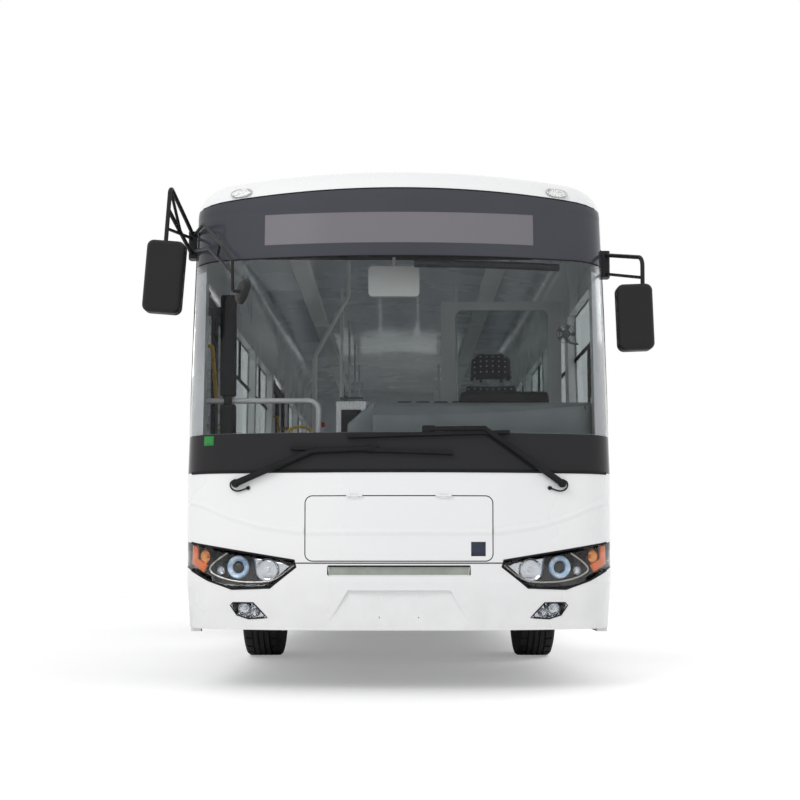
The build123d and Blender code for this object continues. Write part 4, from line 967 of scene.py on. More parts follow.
def wheel_nuts(corner):
    """Ring of wheel nuts with washers and studs on the outer face of a rim."""
    node = corner + "_rim"
    low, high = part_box(node)
    side = 1 if low.x > 0 else -1
    centre = (low + high) / 2
    rim = skin_tree((node,))
    mesh = bmesh.new()
    for k in range(NUT_COUNT):
        angle = 2 * pi * (k + 0.5) / NUT_COUNT
        y = centre.y + NUT_CIRCLE * cos(angle)
        z = centre.z + NUT_CIRCLE * sin(angle)
        face = rim.ray_cast(Vector((side * FAR, y, z)), Vector((-side, 0, 0)))[0]
        for height, radius, sides, edge in (WASHER, NUT, STUD):
            add_drum(mesh, face, face + Vector((side * height, 0, 0)), radius, sides=sides, edge=edge)
    finish_piece(corner + "_nuts", mesh, CAST, corner + "_wheel")


for corner in FRONT_CORNERS + REAR_CORNERS:
    wheel_nuts(corner)


# Soft pads

PAD_CUTS = 5
PAD_CROWN = 0.012
PAD_WAIST = 0.008
PAD_PRESSURE = 4.0
PAD_FRAMES = 20
PAD_CAP = 0.009
PAD_SMOOTHS = 5
PAD_ANGLE = 60.0
CHANNEL_HALF = 0.02
CHANNEL_DEPTH = 0.007
CHANNEL_FACING = 0.6
UPWARDS = (0, 0, 1)
FORWARDS = (0, -1, 0)


def pad_form(low, high, lean=0.0, crown_axis=2, dome=0.0):
    """Crowned cushion between two corners: its sides draw in, its top swells, its far end may be rounded."""
    pad = bmesh.new()
    bmesh.ops.create_cube(pad, size=2.0)
    bmesh.ops.subdivide_edges(pad, edges=pad.edges, cuts=PAD_CUTS, use_grid_fill=True)
    middle = (Vector(low) + Vector(high)) / 2
    half = (Vector(high) - Vector(low)) / 2
    flat = [axis for axis in range(3) if axis != crown_axis]
    for vert in pad.verts:
        u = vert.co[flat[0]]
        v = vert.co[flat[1]]
        w = vert.co[crown_axis]
        room = (1 - u * u) * (1 - v * v)
        place = Vector((0.0, 0.0, 0.0))
        place[flat[0]] = u * (half[flat[0]] * (1 - dome * max(0.0, v) ** 3) - PAD_WAIST * (1 - v * v))
        place[flat[1]] = v * (half[flat[1]] - PAD_WAIST * (1 - u * u))
        place[crown_axis] = w * (half[crown_axis] - PAD_CROWN) + w * PAD_CROWN * room
        place.y += lean * (place.z + half.z)
        vert.co = middle + place
    return pad


def even_out(pad):
    """Take the small bumps out of a blown pad."""
    mesh = bmesh.new()
    mesh.from_mesh(pad)
    for _ in range(PAD_SMOOTHS):
        bmesh.ops.smooth_vert(mesh, verts=mesh.verts, factor=0.5, use_axis_x=True, use_axis_y=True,
                              use_axis_z=True)
    mesh.to_mesh(pad)
    mesh.free()


def sew_channel(pad, facing):
    """Press a sewn channel down the middle of the side of a pad that faces one way."""
    facing = Vector(facing)
    middle = sum((vertex.co for vertex in pad.vertices), Vector()) / len(pad.vertices)
    for vertex in pad.vertices:
        near = max(0.0, 1 - abs(vertex.co.x - middle.x) / CHANNEL_HALF)
        if vertex.normal.dot(facing) > CHANNEL_FACING:
            vertex.co -= facing * CHANNEL_DEPTH * near


def swell(form, voxel, channel=None):
    """Blow a closed form up a little as cloth, sew its channel, and give its mesh."""
    scene = bpy.context.scene
    block = bpy.data.objects.new("pad_form", bpy.data.meshes.new("pad_form"))
    form.to_mesh(block.data)
    form.free()
    scene.collection.objects.link(block)
    even = block.modifiers.new("even", "REMESH")
    even.mode = "VOXEL"
    even.voxel_size = voxel
    rest = bpy.data.meshes.new_from_object(block.evaluated_get(bpy.context.evaluated_depsgraph_get()))
    block.modifiers.clear()
    block.data = rest
    cloth = block.modifiers.new("cloth", "CLOTH")
    cloth.settings.use_pressure = True
    cloth.settings.uniform_pressure_force = PAD_PRESSURE
    cloth.settings.effector_weights.gravity = 0.0
    cloth.point_cache.frame_end = PAD_FRAMES
    for number in range(1, PAD_FRAMES + 1):
        scene.frame_set(number)
    blown = block.evaluated_get(bpy.context.evaluated_depsgraph_get()).data
    shifts = [after.co - before.co for before, after in zip(rest.vertices, blown.vertices)]
    block.modifiers.clear()
    for vertex, shift in zip(rest.vertices, shifts):
        vertex.co += shift * min(1.0, PAD_CAP / max(shift.length, 1e-9))
    even_out(rest)
    if channel:
        sew_channel(rest, channel)
    bpy.data.objects.remove(block)
    scene.frame_set(1)
    return rest


def set_pad(mesh, pad, place):
    """Add a copy of a pad to a piece, moved to its place."""
    start = len(mesh.verts)
    mesh.from_mesh(pad)
    mesh.verts.ensure_lookup_table()
    bmesh.ops.translate(mesh, vec=place, verts=mesh.verts[start:])


# Passenger seats

SEAT_HALF = 0.215
SEAT_VOXEL = 0.012
SEAT_MARGIN = 0.012
SEAT_FRONT_MARGIN = 0.01
SEAT_PAD_TOP = -0.006
CUSHION_T = 0.062
BACK_LEAN = 0.165
BACK_MARGIN = 0.024
BACK_PAD_Y = (0.004, 0.034)
BACK_PAD_H = 0.53
BACK_PAD_DROP = 0.07
BACK_PAD_OUT = 0.012
BACK_DOME = 0.1
BACK_SHELL_Y = 0.02
BACK_SHELL_T = 0.03
BACK_SHOULDER_R = 0.09
SHELL_FOOT = 0.075
SHELL_LAP = 0.006
SHELL_EDGE = 0.008
LEG_R = 0.032
LEG_TOP = 0.07
LEG_FOOT_R = (0.1, 0.09)
LEG_FOOT_T = 0.012
LEG_HEAD_Z = (0.11, 0.072)
LEG_HEAD_R = (0.05, 0.12)
SEAT_HANDLE_IN = 0.04
SEAT_HANDLE_Y = 0.05
SEAT_HANDLE_R = 0.012
SEAT_HANDLE = ((0.0, -0.1), (0.0, 0.01), (0.05, 0.05), (0.15, 0.05), (0.2, 0.01), (0.2, -0.1))


def add_moulded_back(mesh, low, high):
    """Leaning shell of a seat back with rounded shoulders."""
    back = bmesh.new()
    front = low.y + BACK_SHELL_Y
    points = ((low.x, front, low.z), (high.x, front, low.z), (high.x, front, high.z), (low.x, front, high.z))
    face = back.faces.new([back.verts.new(point) for point in points])
    shoulders = [vert for vert in face.verts if vert.co.z > (low.z + high.z) / 2]
    bmesh.ops.bevel(back, geom=shoulders, offset=BACK_SHOULDER_R, segments=6, profile=0.5,
                    affect="VERTICES", material=-1)
    thicken(back, BACK_SHELL_T)
    for vert in back.verts:
        vert.co.y += BACK_LEAN * (vert.co.z - low.z)
    take_in(mesh, back)


def seat_handle(low, high):
    """Line of the grab handle on the aisle corner of a seat back."""
    side = -1 if low.x + high.x > 0 else 1
    x = (low.x if side < 0 else high.x) - side * SEAT_HANDLE_IN
    y = low.y + SEAT_HANDLE_Y + BACK_LEAN * (high.z - low.z)
    return smooth_line([(x - side * across, y, high.z + up) for across, up in SEAT_HANDLE], 4)


def add_pedestal(mesh, x, y, foot, seat):
    """Round leg of a seat with its floor plate and its flared head."""
    add_drum(mesh, (x, y, foot), (x, y, seat - LEG_TOP), LEG_R, sides=20)
    add_drum(mesh, (x, y, foot), (x, y, foot + LEG_FOOT_T), *LEG_FOOT_R, 28, 0.003)
    add_drum(mesh, (x, y, seat - LEG_HEAD_Z[0]), (x, y, seat - LEG_HEAD_Z[1]), *LEG_HEAD_R, 24)


def passenger_seats():
    """Cloth pads on moulded shells, with pedestals and grab handles."""
    side = SEAT_HALF - SEAT_MARGIN
    form = pad_form((-side, SEAT_FRONT_MARGIN - SEAT_HALF, -CUSHION_T), (side, side, SEAT_PAD_TOP))
    seat_pad = swell(form, SEAT_VOXEL, UPWARDS)
    side = SEAT_HALF - BACK_MARGIN
    form = pad_form((-side, BACK_PAD_Y[0], 0.0), (side, BACK_PAD_Y[1], BACK_PAD_H), BACK_LEAN, 1, BACK_DOME)
    back_pad = swell(form, SEAT_VOXEL, FORWARDS)
    cushion = bmesh.new()
    back = bmesh.new()
    shell = bmesh.new()
    leg = bmesh.new()
    handle = bmesh.new()
    for low, high in islands("seat_cushions"):
        centre = (low + high) / 2
        set_pad(cushion, seat_pad, (centre.x, centre.y, high.z))
        shell_top = high.z - CUSHION_T + SHELL_LAP
        add_block(shell, (low.x, low.y, high.z - SHELL_FOOT), (high.x, high.y, shell_top), SHELL_EDGE)
        add_pedestal(leg, centre.x, centre.y, low.z, high.z)
    for low, high in islands("seat_backs"):
        foot = high.z - BACK_PAD_DROP - BACK_PAD_H
        front = low.y + BACK_LEAN * (foot - low.z) - BACK_PAD_OUT
        set_pad(back, back_pad, ((low.x + high.x) / 2, front, foot))
        add_moulded_back(shell, low, high)
        add_tube(handle, seat_handle(low, high), SEAT_HANDLE_R)
    soft_cushion = finish_piece("seat_cushion_pads", cushion, CLOTH, angle=PAD_ANGLE)
    soft_back = finish_piece("seat_back_pads", back, CLOTH, angle=PAD_ANGLE)
    for pad in (seat_pad, back_pad):
        bpy.data.meshes.remove(pad)
    for piece, node in ((soft_cushion, "seat_cushions"), (soft_back, "seat_backs")):
        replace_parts(piece, node)
    finish_piece("seat_shells", shell, SHELL)
    finish_piece("seat_pedestals", leg, STEEL)
    finish_piece("seat_handles", handle, YELLOW)


passenger_seats()


# Driver's place

DRIVER_VOXEL = 0.01
DRIVER_CUSHION_Z = 0.37
DRIVER_BACK = (0.4, 0.09)
DRIVER_HEAD_RISE = 0.66
DRIVER_HEAD_FORWARD = 0.005
# Half width, then runs back and up; the headrest ends a little under the seat's top.
CUSHION_PAD = (0.228, (0.012, 0.433), (0.006, 0.104))
BACK_PAD = (0.218, (0.007, 0.083), (0.01, 0.63))
HEAD_PAD = (0.157, (0.006, 0.074), 0.645, 0.01)
DRIVER_BACK_DOME = 0.2
HEAD_LEAN = 0.13
HEAD_DOME = 0.5
BASE_Y = 0.23
# Half width, half length, foot, top, edge and its steps; the bellows have one half, a foot and a pitch.
BASE_PLATE = (0.15, 0.15, 0.0, 0.06, 0.012, 2)
BELLOWS = (0.14, 0.07, 0.055, 0.045, 0.018)
BELLOWS_COUNT = 4
SEAT_PAN = (0.2, 0.19, 0.29, 0.375, 0.015, 2)
HEAD_BAR_X = 0.07
HEAD_BAR_Y = (0.03, 0.045)
HEAD_BAR_Z = (0.64, 0.76)
HEAD_BAR_R = 0.008


def driver_pads(low, high, middle, back_y, back_z, head_y):
    """Forms of the driver's cushion, back and headrest, each with the side that has a sewn channel."""
    cushion_z = low.z + DRIVER_CUSHION_Z
    half, (y0, y1), (z0, z1) = CUSHION_PAD
    yield pad_form((middle - half, low.y + y0, cushion_z + z0),
                   (middle + half, low.y + y1, cushion_z + z1)), UPWARDS
    half, (y0, y1), (z0, z1) = BACK_PAD
    yield pad_form((middle - half, back_y + y0, back_z + z0), (middle + half, back_y + y1, back_z + z1),
                   BACK_LEAN, 1, DRIVER_BACK_DOME), FORWARDS
    half, (y0, y1), foot, top = HEAD_PAD
    yield pad_form((middle - half, head_y + y0, back_z + foot), (middle + half, head_y + y1, high.z - top),
                   HEAD_LEAN, 1, HEAD_DOME), None


def driver_seat():
    """Sprung driver's seat: pedestal with bellows, cushion, leaning back and headrest."""
    low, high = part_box("driver_seat")
    middle = (low.x + high.x) / 2
    back_y = low.y + DRIVER_BACK[0]
    back_z = low.z + DRIVER_CUSHION_Z + DRIVER_BACK[1]
    head_y = back_y + BACK_LEAN * DRIVER_HEAD_RISE - DRIVER_HEAD_FORWARD
    cushion = bmesh.new()
    for form, channel in driver_pads(low, high, middle, back_y, back_z, head_y):
        pad = swell(form, DRIVER_VOXEL, channel)
        set_pad(cushion, pad, (0.0, 0.0, 0.0))
        bpy.data.meshes.remove(pad)
    piece = finish_piece("driver_cushions", cushion, DRIVER_CLOTH, angle=PAD_ANGLE)
    smooth = piece.modifiers.new("soft", "SUBSURF")
    smooth.levels = 1
    smooth.render_levels = 1
    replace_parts(piece, "driver_seat")
    base = bmesh.new()
    y = low.y + BASE_Y
    half, foot, pitch, height, edge = BELLOWS
    folds = [(half, half, foot + k * pitch, foot + k * pitch + height, edge, 3) for k in range(BELLOWS_COUNT)]
    for half_x, half_y, z0, z1, edge, segments in (BASE_PLATE, *folds, SEAT_PAN):
        add_block(base, (middle - half_x, y - half_y, low.z + z0), (middle + half_x, y + half_y, low.z + z1),
                  edge, segments)
    for x in (middle - HEAD_BAR_X, middle + HEAD_BAR_X):
        ends = [(x, head_y + up_y, back_z + up_z) for up_y, up_z in zip(HEAD_BAR_Y, HEAD_BAR_Z)]
        add_drum(base, *ends, HEAD_BAR_R, sides=12)
    finish_piece("driver_seat_base", base, BLACK)


driver_seat()

DASH_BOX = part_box("dashboard")
DASH_TOP = DASH_BOX[1].z
DASH_BACK = DASH_BOX[1].y
WHEEL_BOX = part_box("steering_wheel")
WHEEL_X = (WHEEL_BOX[0].x + WHEEL_BOX[1].x) / 2
# Front and back before the dashboard's back edge, then foot and top over its top.
HOOD = (0.3, 0.12, -0.03, 0.07)
HOOD_HALF = 0.27
HOOD_EDGE = 0.03
SWITCHES = (0.26, 0.17, -0.02, 0.012)
SWITCH_COUNT = 4
SWITCH_START = 0.65
SWITCH_PITCH = 0.11
SWITCH_WIDTH = 0.09
SWITCH_EDGE = 0.008
DIAL_OUT = 0.13
DIAL_PLACE = (0.118, 0.018)
DIAL_PROFILE = ((0.0, 0.045), (0.008, 0.045), (0.008, 0.04), (0.002, 0.036), (0.002, 0.0))
WING_SIZE = (0.16, 0.4, 0.36)
WING_LAP = 0.01
WING_Y = 0.32
WING_Z = 0.2
WING_DROP = 0.14
WING_EDGE = 0.018
VENTS = (0.52, 0.4, -0.075, -0.045)
VENT_STARTS = (-0.05, 0.3, 0.95)
VENT_SLATS = 7
VENT_PITCH = 0.022
VENT_WIDTH = 0.012


def dash_block(mesh, x0, x1, place, edge, segments=2):
    """Block on the dashboard, from distances before its back edge and heights over its top."""
    front, back, foot, top = place
    add_block(mesh, (x0, DASH_BACK - front, DASH_TOP + foot), (x1, DASH_BACK - back, DASH_TOP + top),
              edge, segments)


def dash_fittings():
    """Instrument hood with dials, switches, the sloped end of the dashboard and demister vents."""
    hood = bmesh.new()
    dash_block(hood, WHEEL_X - HOOD_HALF, WHEEL_X + HOOD_HALF, HOOD, HOOD_EDGE, 3)
    for k in range(SWITCH_COUNT):
        x = WHEEL_X - SWITCH_START + k * SWITCH_PITCH
        dash_block(hood, x, x + SWITCH_WIDTH, SWITCHES, SWITCH_EDGE)
    finish_piece("instrument_hood", hood, BLACK)
    dials = bmesh.new()
    for x in (WHEEL_X - DIAL_OUT, WHEEL_X + DIAL_OUT):
        face = (x, DASH_BACK - DIAL_PLACE[0], DASH_TOP + DIAL_PLACE[1])
        add_spun(dials, DIAL_PROFILE, face, (0, 1, 0), 28)
    finish_piece("instrument_dials", dials, CHROME)
    wing = bmesh.new()
    verts = bmesh.ops.create_cube(wing, size=1.0)["verts"]
    bmesh.ops.scale(wing, vec=WING_SIZE, verts=verts)
    middle = Vector((DASH_BOX[0].x - WING_SIZE[0] / 2 + WING_LAP, DASH_BOX[0].y + WING_Y, DASH_TOP - WING_Z))
    bmesh.ops.translate(wing, vec=middle, verts=verts)
    for vert in verts:
        if vert.co.x < middle.x and vert.co.z > middle.z:
            vert.co.z -= WING_DROP
    bmesh.ops.bevel(wing, geom=wing.edges, offset=WING_EDGE, segments=3, profile=0.5,
                    affect="EDGES", material=-1)
    finish_piece("dash_wing", wing, DASH)
    vents = bmesh.new()
    for start in VENT_STARTS:
        for k in range(VENT_SLATS):
            x = start + k * VENT_PITCH
            dash_block(vents, x, x + VENT_WIDTH, VENTS, 0.003, 1)
    finish_piece("demister_vents", vents, BLACK)


dash_fittings()

FARE_WINDOW = ((0.03, -0.012, -0.2), (-0.03, 0.004, -0.06))
FARE_BOWL = ((0.02, 0.015, -0.004), (-0.02, 0.11, 0.02))
CARD_READER = ((-0.004, 0.03, -0.17), (0.05, 0.12, -0.03))
FARE_LOCK_Y = (0.03, 0.018)
FARE_LOCK_Z = 0.4
FARE_LOCK_R = 0.014


def fare_box_fittings():
    """Dark window, card reader, lock and clear bowl on the fare box."""
    low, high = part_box("fare_box")
    right = Vector((low.x, low.y, high.z))
    left = Vector((high.x, low.y, high.z))
    dark = bmesh.new()
    add_block(dark, right + Vector(FARE_WINDOW[0]), left + Vector(FARE_WINDOW[1]), 0.006)
    add_block(dark, left + Vector(CARD_READER[0]), left + Vector(CARD_READER[1]), 0.012, 3)
    lock = [((low.x + high.x) / 2, high.y - inner, low.z + FARE_LOCK_Z) for inner in FARE_LOCK_Y]
    add_drum(dark, *lock, FARE_LOCK_R, edge=0.002)
    finish_piece("fare_box_fittings", dark, BLACK)
    bowl = bmesh.new()
    add_block(bowl, right + Vector(FARE_BOWL[0]), left + Vector(FARE_BOWL[1]), 0.01, 3)
    finish_piece("fare_box_bowl", bowl, COVER)


fare_box_fittings()


# Side windows, doors and panel lines

FRAME_R = 0.011
FRAME_OUT = 0.005
WINDOW_CORNER = 0.025
REAR_PANE_Y = REAR_Y - 0.15
SASH_DROP = 0.3
SASH_HALF = 0.014
DRIVER_SASH_Y = FRONT_Y + 1.0
BAR_IN = 0.016
BAR_OUT = 0.003
BAR_END = 0.004


def rounded_loop(a0, a1, b0, b1, radius, steps=5):
    """Points round a rectangle with round corners, in two coordinates, the first one repeated at the end."""
    corners = ((a1 - radius, b0 + radius, -90), (a1 - radius, b1 - radius, 0), (a0 + radius, b1 - radius, 90),
               (a0 + radius, b0 + radius, 180))
    loop = []
    for a, b, turn in corners:
        for k in range(steps + 1):
            angle = radians(turn + 90 * k / steps)
            loop.append((a + radius * cos(angle), b + radius * sin(angle)))
    return loop + loop[:1]


def frame_loop(a0, a1, b0, b1):
    """Line of the rubber round a pane."""
    return rounded_loop(a0 - FRAME_OUT, a1 + FRAME_OUT, b0 - FRAME_OUT, b1 + FRAME_OUT, WINDOW_CORNER)


def add_sash(mesh, side, low, high):
    """Level bar of a sliding window and its upright, which stands below the bar beside the driver."""
    split = high.z - SASH_DROP
    driver = side > 0 and low.y < DRIVER_SASH_Y
    y = DRIVER_SASH_Y if driver else (low.y + high.y) / 2
    upright = (low.z, split) if driver else (split, high.z)
    level = (low.y, high.y, split - SASH_HALF, split + SASH_HALF)
    for y0, y1, z0, z1 in (level, (y - SASH_HALF, y + SASH_HALF, *upright)):
        reach = [abs(on_side(side, y, z).x) for z in (z0, z1)]
        inner = side * (min(reach) - BAR_IN)
        outer = side * (max(reach) + BAR_OUT)
        add_block(mesh, (inner, y0 + BAR_END, z0), (outer, y1 - BAR_END, z1), 0.004, 1)


def window_frames():
    """Rubber round every pane, and the sash bars of the sliding windows."""
    rubber = bmesh.new()
    bars = bmesh.new()
    for low, high in islands("windows"):
        if high.y < REAR_PANE_Y:
            side = 1 if low.x > 0 else -1
            loop = frame_loop(low.y, high.y, low.z, high.z)
            add_tube(rubber, [on_side(side, y, z) for y, z in loop], FRAME_R, 8)
            add_sash(bars, side, low, high)
        else:
            loop = frame_loop(low.x, high.x, low.z, high.z)
            add_tube(rubber, [on_rear(x, z) for x, z in loop], FRAME_R, 8)
    finish_piece("window_rubbers", rubber, RUBBER)
    finish_piece("window_bars", bars, BLACK)


window_frames()

LEAF_FRAME = 0.055
LEAF_FOOT = 0.12
LEAF_HEAD = 0.075
LEAF_CORNER = 0.04
LEAF_SEAL_IN = 0.002
LEAF_SEAL_R = 0.007
LIP_IN = 0.012
LIP_OUT = 0.0038
LIP_SIDE = 0.001
LIP_END = 0.004
HANDLE_R = 0.013
UPRIGHT_IN = 0.075
UPRIGHT_HANDLE = ((-0.01, 0.98), (0.033, 0.985), (0.045, 1.01), (0.045, 1.25), (0.045, 1.49), (0.033, 1.515),
                  (-0.01, 1.52))
SLANTED_HANDLE = ((-0.01, 0.06, 2.05), (0.033, 0.06, 2.045), (0.045, 0.07, 2.03), (0.045, 0.155, 1.89),
                  (0.045, 0.24, 1.75), (0.033, 0.25, 1.735), (-0.01, 0.25, 1.73))


def door_trim(name):
    """Rubber lip and glass seal of one door leaf, and its two grab handles."""
    low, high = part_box(name + "_leaf")
    fore = name.endswith("fore")
    meeting = high.y if fore else low.y
    jamb = low.y if fore else high.y
    along = 1 if fore else -1
    rubber = bmesh.new()
    add_block(rubber, (low.x + LIP_SIDE, meeting - along * LIP_IN, low.z + LIP_END),
              (high.x - LIP_SIDE, meeting + along * LIP_OUT, high.z - LIP_END), 0.003)
    loop = rounded_loop(low.y + LEAF_FRAME, high.y - LEAF_FRAME, low.z + LEAF_FOOT, high.z - LEAF_HEAD,
                        LEAF_CORNER)
    add_tube(rubber, [(low.x + LEAF_SEAL_IN, y, z) for y, z in loop], LEAF_SEAL_R, 8)
    finish_piece(name + "_rubbers", rubber, RUBBER, name + "_panel")
    bar = bmesh.new()
    y = meeting - along * UPRIGHT_IN
    add_tube(bar, smooth_line([(high.x + out, y, z) for out, z in UPRIGHT_HANDLE], 4), HANDLE_R)
    slanted = [(high.x + out, jamb + along * run, z) for out, run, z in SLANTED_HANDLE]
    add_tube(bar, smooth_line(slanted, 4), HANDLE_R)
    finish_piece(name + "_handles", bar, YELLOW, name + "_panel")


for leaf in DOOR_LEAVES:
    door_trim(leaf)

LINE_R = 0.003
LINE_END = 0.004
LINE_LIFT = 0.0005
SKIRT_FOOT_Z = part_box("skirts")[0].z
SKIRT_BEND_Z = 0.62
SILL_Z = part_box("skirts")[1].z
WALL_TOP_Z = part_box("left_wall")[1].z
CORNER_HEIGHTS = (0.4, 0.62, 0.9, 1.245, 1.7, 2.2, 2.6)
DOOR_MARGIN = 0.02
DOOR_SPANS = [(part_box(name + "_fore_post")[0].y - DOOR_MARGIN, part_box(name + "_aft_post")[1].y + DOOR_MARGIN)
              for name in ("front_door", "middle_door")]
AXLE_Y = [(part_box(name)[0].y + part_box(name)[1].y) / 2 for name in ("front_left_rim", "rear_left_rim")]
ARCH_CLEAR = 0.6
SKIRT_SEAMS = (1.84, 3.95, 6.55, 8.75, 9.6)
REAR_SEAM_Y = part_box("rear_wall")[0].y
FRONT_EDGE_Y = FRONT_Y + 0.43


def clear_runs(start, end, gaps):
    """Parts of a run that lie outside the given gaps."""
    runs = []
    at = start
    for low, high in sorted(gaps):
        if low > at:
            runs.append((at, min(low, end)))
        at = max(at, high)
    if at < end:
        runs.append((at, end))
    return runs


def panel_lines():
    """Dark seams between the side panels."""
    seams = bmesh.new()
    arches = [(y - ARCH_CLEAR, y + ARCH_CLEAR) for y in AXLE_Y]
    for side in (-1, 1):
        doors = DOOR_SPANS if side < 0 else []
        for start, end in clear_runs(FRONT_EDGE_Y, REAR_SEAM_Y, doors):
            add_tube(seams, [on_side(side, y, SILL_Z + LINE_LIFT) for y in (start, end)], LINE_R, 6)
        add_tube(seams, [on_side(side, y, WALL_TOP_Z) for y in (FRONT_EDGE_Y, REAR_SEAM_Y)], LINE_R, 6)
        for depth in SKIRT_SEAMS:
            y = FRONT_Y + depth
            if not any(low < y < high for low, high in doors + arches):
                heights = (SKIRT_FOOT_Z + LINE_END, SKIRT_BEND_Z, SILL_Z)
                add_tube(seams, [on_side(side, y, z) for z in heights], LINE_R, 6)
        for y in (FRONT_EDGE_Y, REAR_SEAM_Y):
            add_tube(seams, [on_side(side, y, z) for z in CORNER_HEIGHTS], LINE_R, 6)
    finish_piece("panel_seams", seams, RUBBER)


panel_lines()

SIDE_LAMP_DEPTHS = (1.86, 3.6, 6.3, 8.6, 9.9)
SIDE_LAMP_Z = 0.92
SIDE_LAMP_SINK = 0.003
SIDE_LAMP_EDGE = 0.0035
# Half length, half height and reach out of the skin.
SIDE_LAMP_BASE = (0.062, 0.024, 0.004)
SIDE_LAMP_LENS = (0.054, 0.017, 0.014)
CHARGE_FLAP_Y = FRONT_Y + 9.05
CHARGE_FLAP_WIDTH = 0.36
CHARGE_FLAP_Z = (0.52, 0.88)
CHARGE_FLAP_CORNER = 0.03
CHARGE_FLAP_R = 0.0035
CHARGE_LATCH = (0.32, 0.7)
CHARGE_LATCH_OUT = 0.006
CHARGE_LATCH_R = 0.016


def side_lamps():
    """Amber side marker lamps on dark bases, and the outline of the charging flap."""
    amber = bmesh.new()
    base = bmesh.new()
    for side in (-1, 1):
        for depth in SIDE_LAMP_DEPTHS:
            skin = on_side(side, FRONT_Y + depth, SIDE_LAMP_Z)
            for mesh, (half, height, out) in ((base, SIDE_LAMP_BASE), (amber, SIDE_LAMP_LENS)):
                add_block(mesh, (skin.x - side * SIDE_LAMP_SINK, skin.y - half, skin.z - height),
                          (skin.x + side * out, skin.y + half, skin.z + height), SIDE_LAMP_EDGE)
    finish_piece("side_lamp_bases", base, BLACK)
    finish_piece("side_lamps", amber, AMBER)
    flap = bmesh.new()
    loop = rounded_loop(CHARGE_FLAP_Y, CHARGE_FLAP_Y + CHARGE_FLAP_WIDTH, *CHARGE_FLAP_Z, CHARGE_FLAP_CORNER)
    add_tube(flap, [on_side(1, y, z) for y, z in loop], CHARGE_FLAP_R, 6)
    latch = on_side(1, CHARGE_FLAP_Y + CHARGE_LATCH[0], CHARGE_LATCH[1])
    add_drum(flap, latch, latch + Vector((CHARGE_LATCH_OUT, 0, 0)), CHARGE_LATCH_R, edge=0.002)
    finish_piece("charging_flap", flap, RUBBER)


side_lamps()

MUD_FLAP_X = ((0.86, 1.17), (0.62, 1.17))
MUD_FLAP_BEHIND = 0.575
MUD_FLAP_Z = (0.2, 0.66)
MUD_FLAP_T = 0.008
RIB_COUNT = 5
RIB_HALF = 0.008
RIB_Y = (-0.004, 0.002)
RIB_Z = (0.22, 0.5)


def mud_flaps():
    """Ribbed rubber flaps behind the wheels."""
    mesh = bmesh.new()
    for axle, (inner, outer) in zip(AXLE_Y, MUD_FLAP_X):
        y = axle + MUD_FLAP_BEHIND
        for side in (-1, 1):
            add_block(mesh, (side * inner, y, MUD_FLAP_Z[0]), (side * outer, y + MUD_FLAP_T, MUD_FLAP_Z[1]),
                      0.003, 1)
            for k in range(RIB_COUNT):
                x = side * (inner + (outer - inner) * (k + 0.5) / RIB_COUNT)
                add_block(mesh, (x - RIB_HALF, y + RIB_Y[0], RIB_Z[0]),
                          (x + RIB_HALF, y + RIB_Y[1], RIB_Z[1]), 0.002, 1)
    finish_piece("mud_flaps", mesh, RUBBER)


mud_flaps()


# Rear of the bus

# Middle, half width, foot, top, reach out of the skin, thickness and edge.
REAR_SIGN = (0.0, 0.62, 2.47, 2.72, 0.003, 0.02, 0.004)
PLATE_BASE = (0.0, 0.25, 0.335, 0.465, 0.004, 0.02, 0.004)
PLATE_LAMP = (0.33, 0.03, 0.42, 0.45, 0.012, 0.03, 0.006)
BLANK_PLATE = (0.0, 0.22, 0.345, 0.455, 0.007, 0.006, 0.002)
STOP_LAMP = (0.0, 0.2, 2.405, 2.445, 0.014, 0.03, 0.006)
REFLECTOR = (0.76, 0.06, 0.395, 0.435, 0.008, 0.02, 0.004)
LATCH = (0.6, 0.05, 0.515, 0.555, 0.01, 0.02, 0.006)
SLAT = (0.43, 0.31, 0.62, 0.646, 0.008, 0.02, 0.004)
SLAT_COUNT = 9
SLAT_PITCH = 0.045


def rear_plate(mesh, plate, lift=0.0):
    """Plate on the rear skin, or one on each side where it stands off the middle."""
    middle, half, low, high, out, thickness, edge = plate
    for x in sorted({-middle, middle}):
        y = on_rear(x, (low + high) / 2 + lift).y + out
        add_block(mesh, (x - half, y - thickness, low + lift), (x + half, y, high + lift), edge)


def rear_details():
    """Blank plate, dark sign, middle stop lamp, reflectors, and the motor door's grilles and latches."""
    dark = bmesh.new()
    for plate in (REAR_SIGN, PLATE_BASE, PLATE_LAMP):
        rear_plate(dark, plate)
    finish_piece("rear_dark_plates", dark, GLOSS_BLACK)
    blank = bmesh.new()
    rear_plate(blank, BLANK_PLATE)
    finish_piece("rear_blank_plate", blank, PALE_TRIM)
    red = bmesh.new()
    for plate in (STOP_LAMP, REFLECTOR):
        rear_plate(red, plate)
    finish_piece("rear_red_lamps", red, REAR_LENS)
    slats = bmesh.new()
    for k in range(SLAT_COUNT):
        rear_plate(slats, SLAT, k * SLAT_PITCH)
    rear_plate(slats, LATCH)
    finish_piece("motor_door_grille", slats, BLACK, "rear_lid")


rear_details()


# Roof

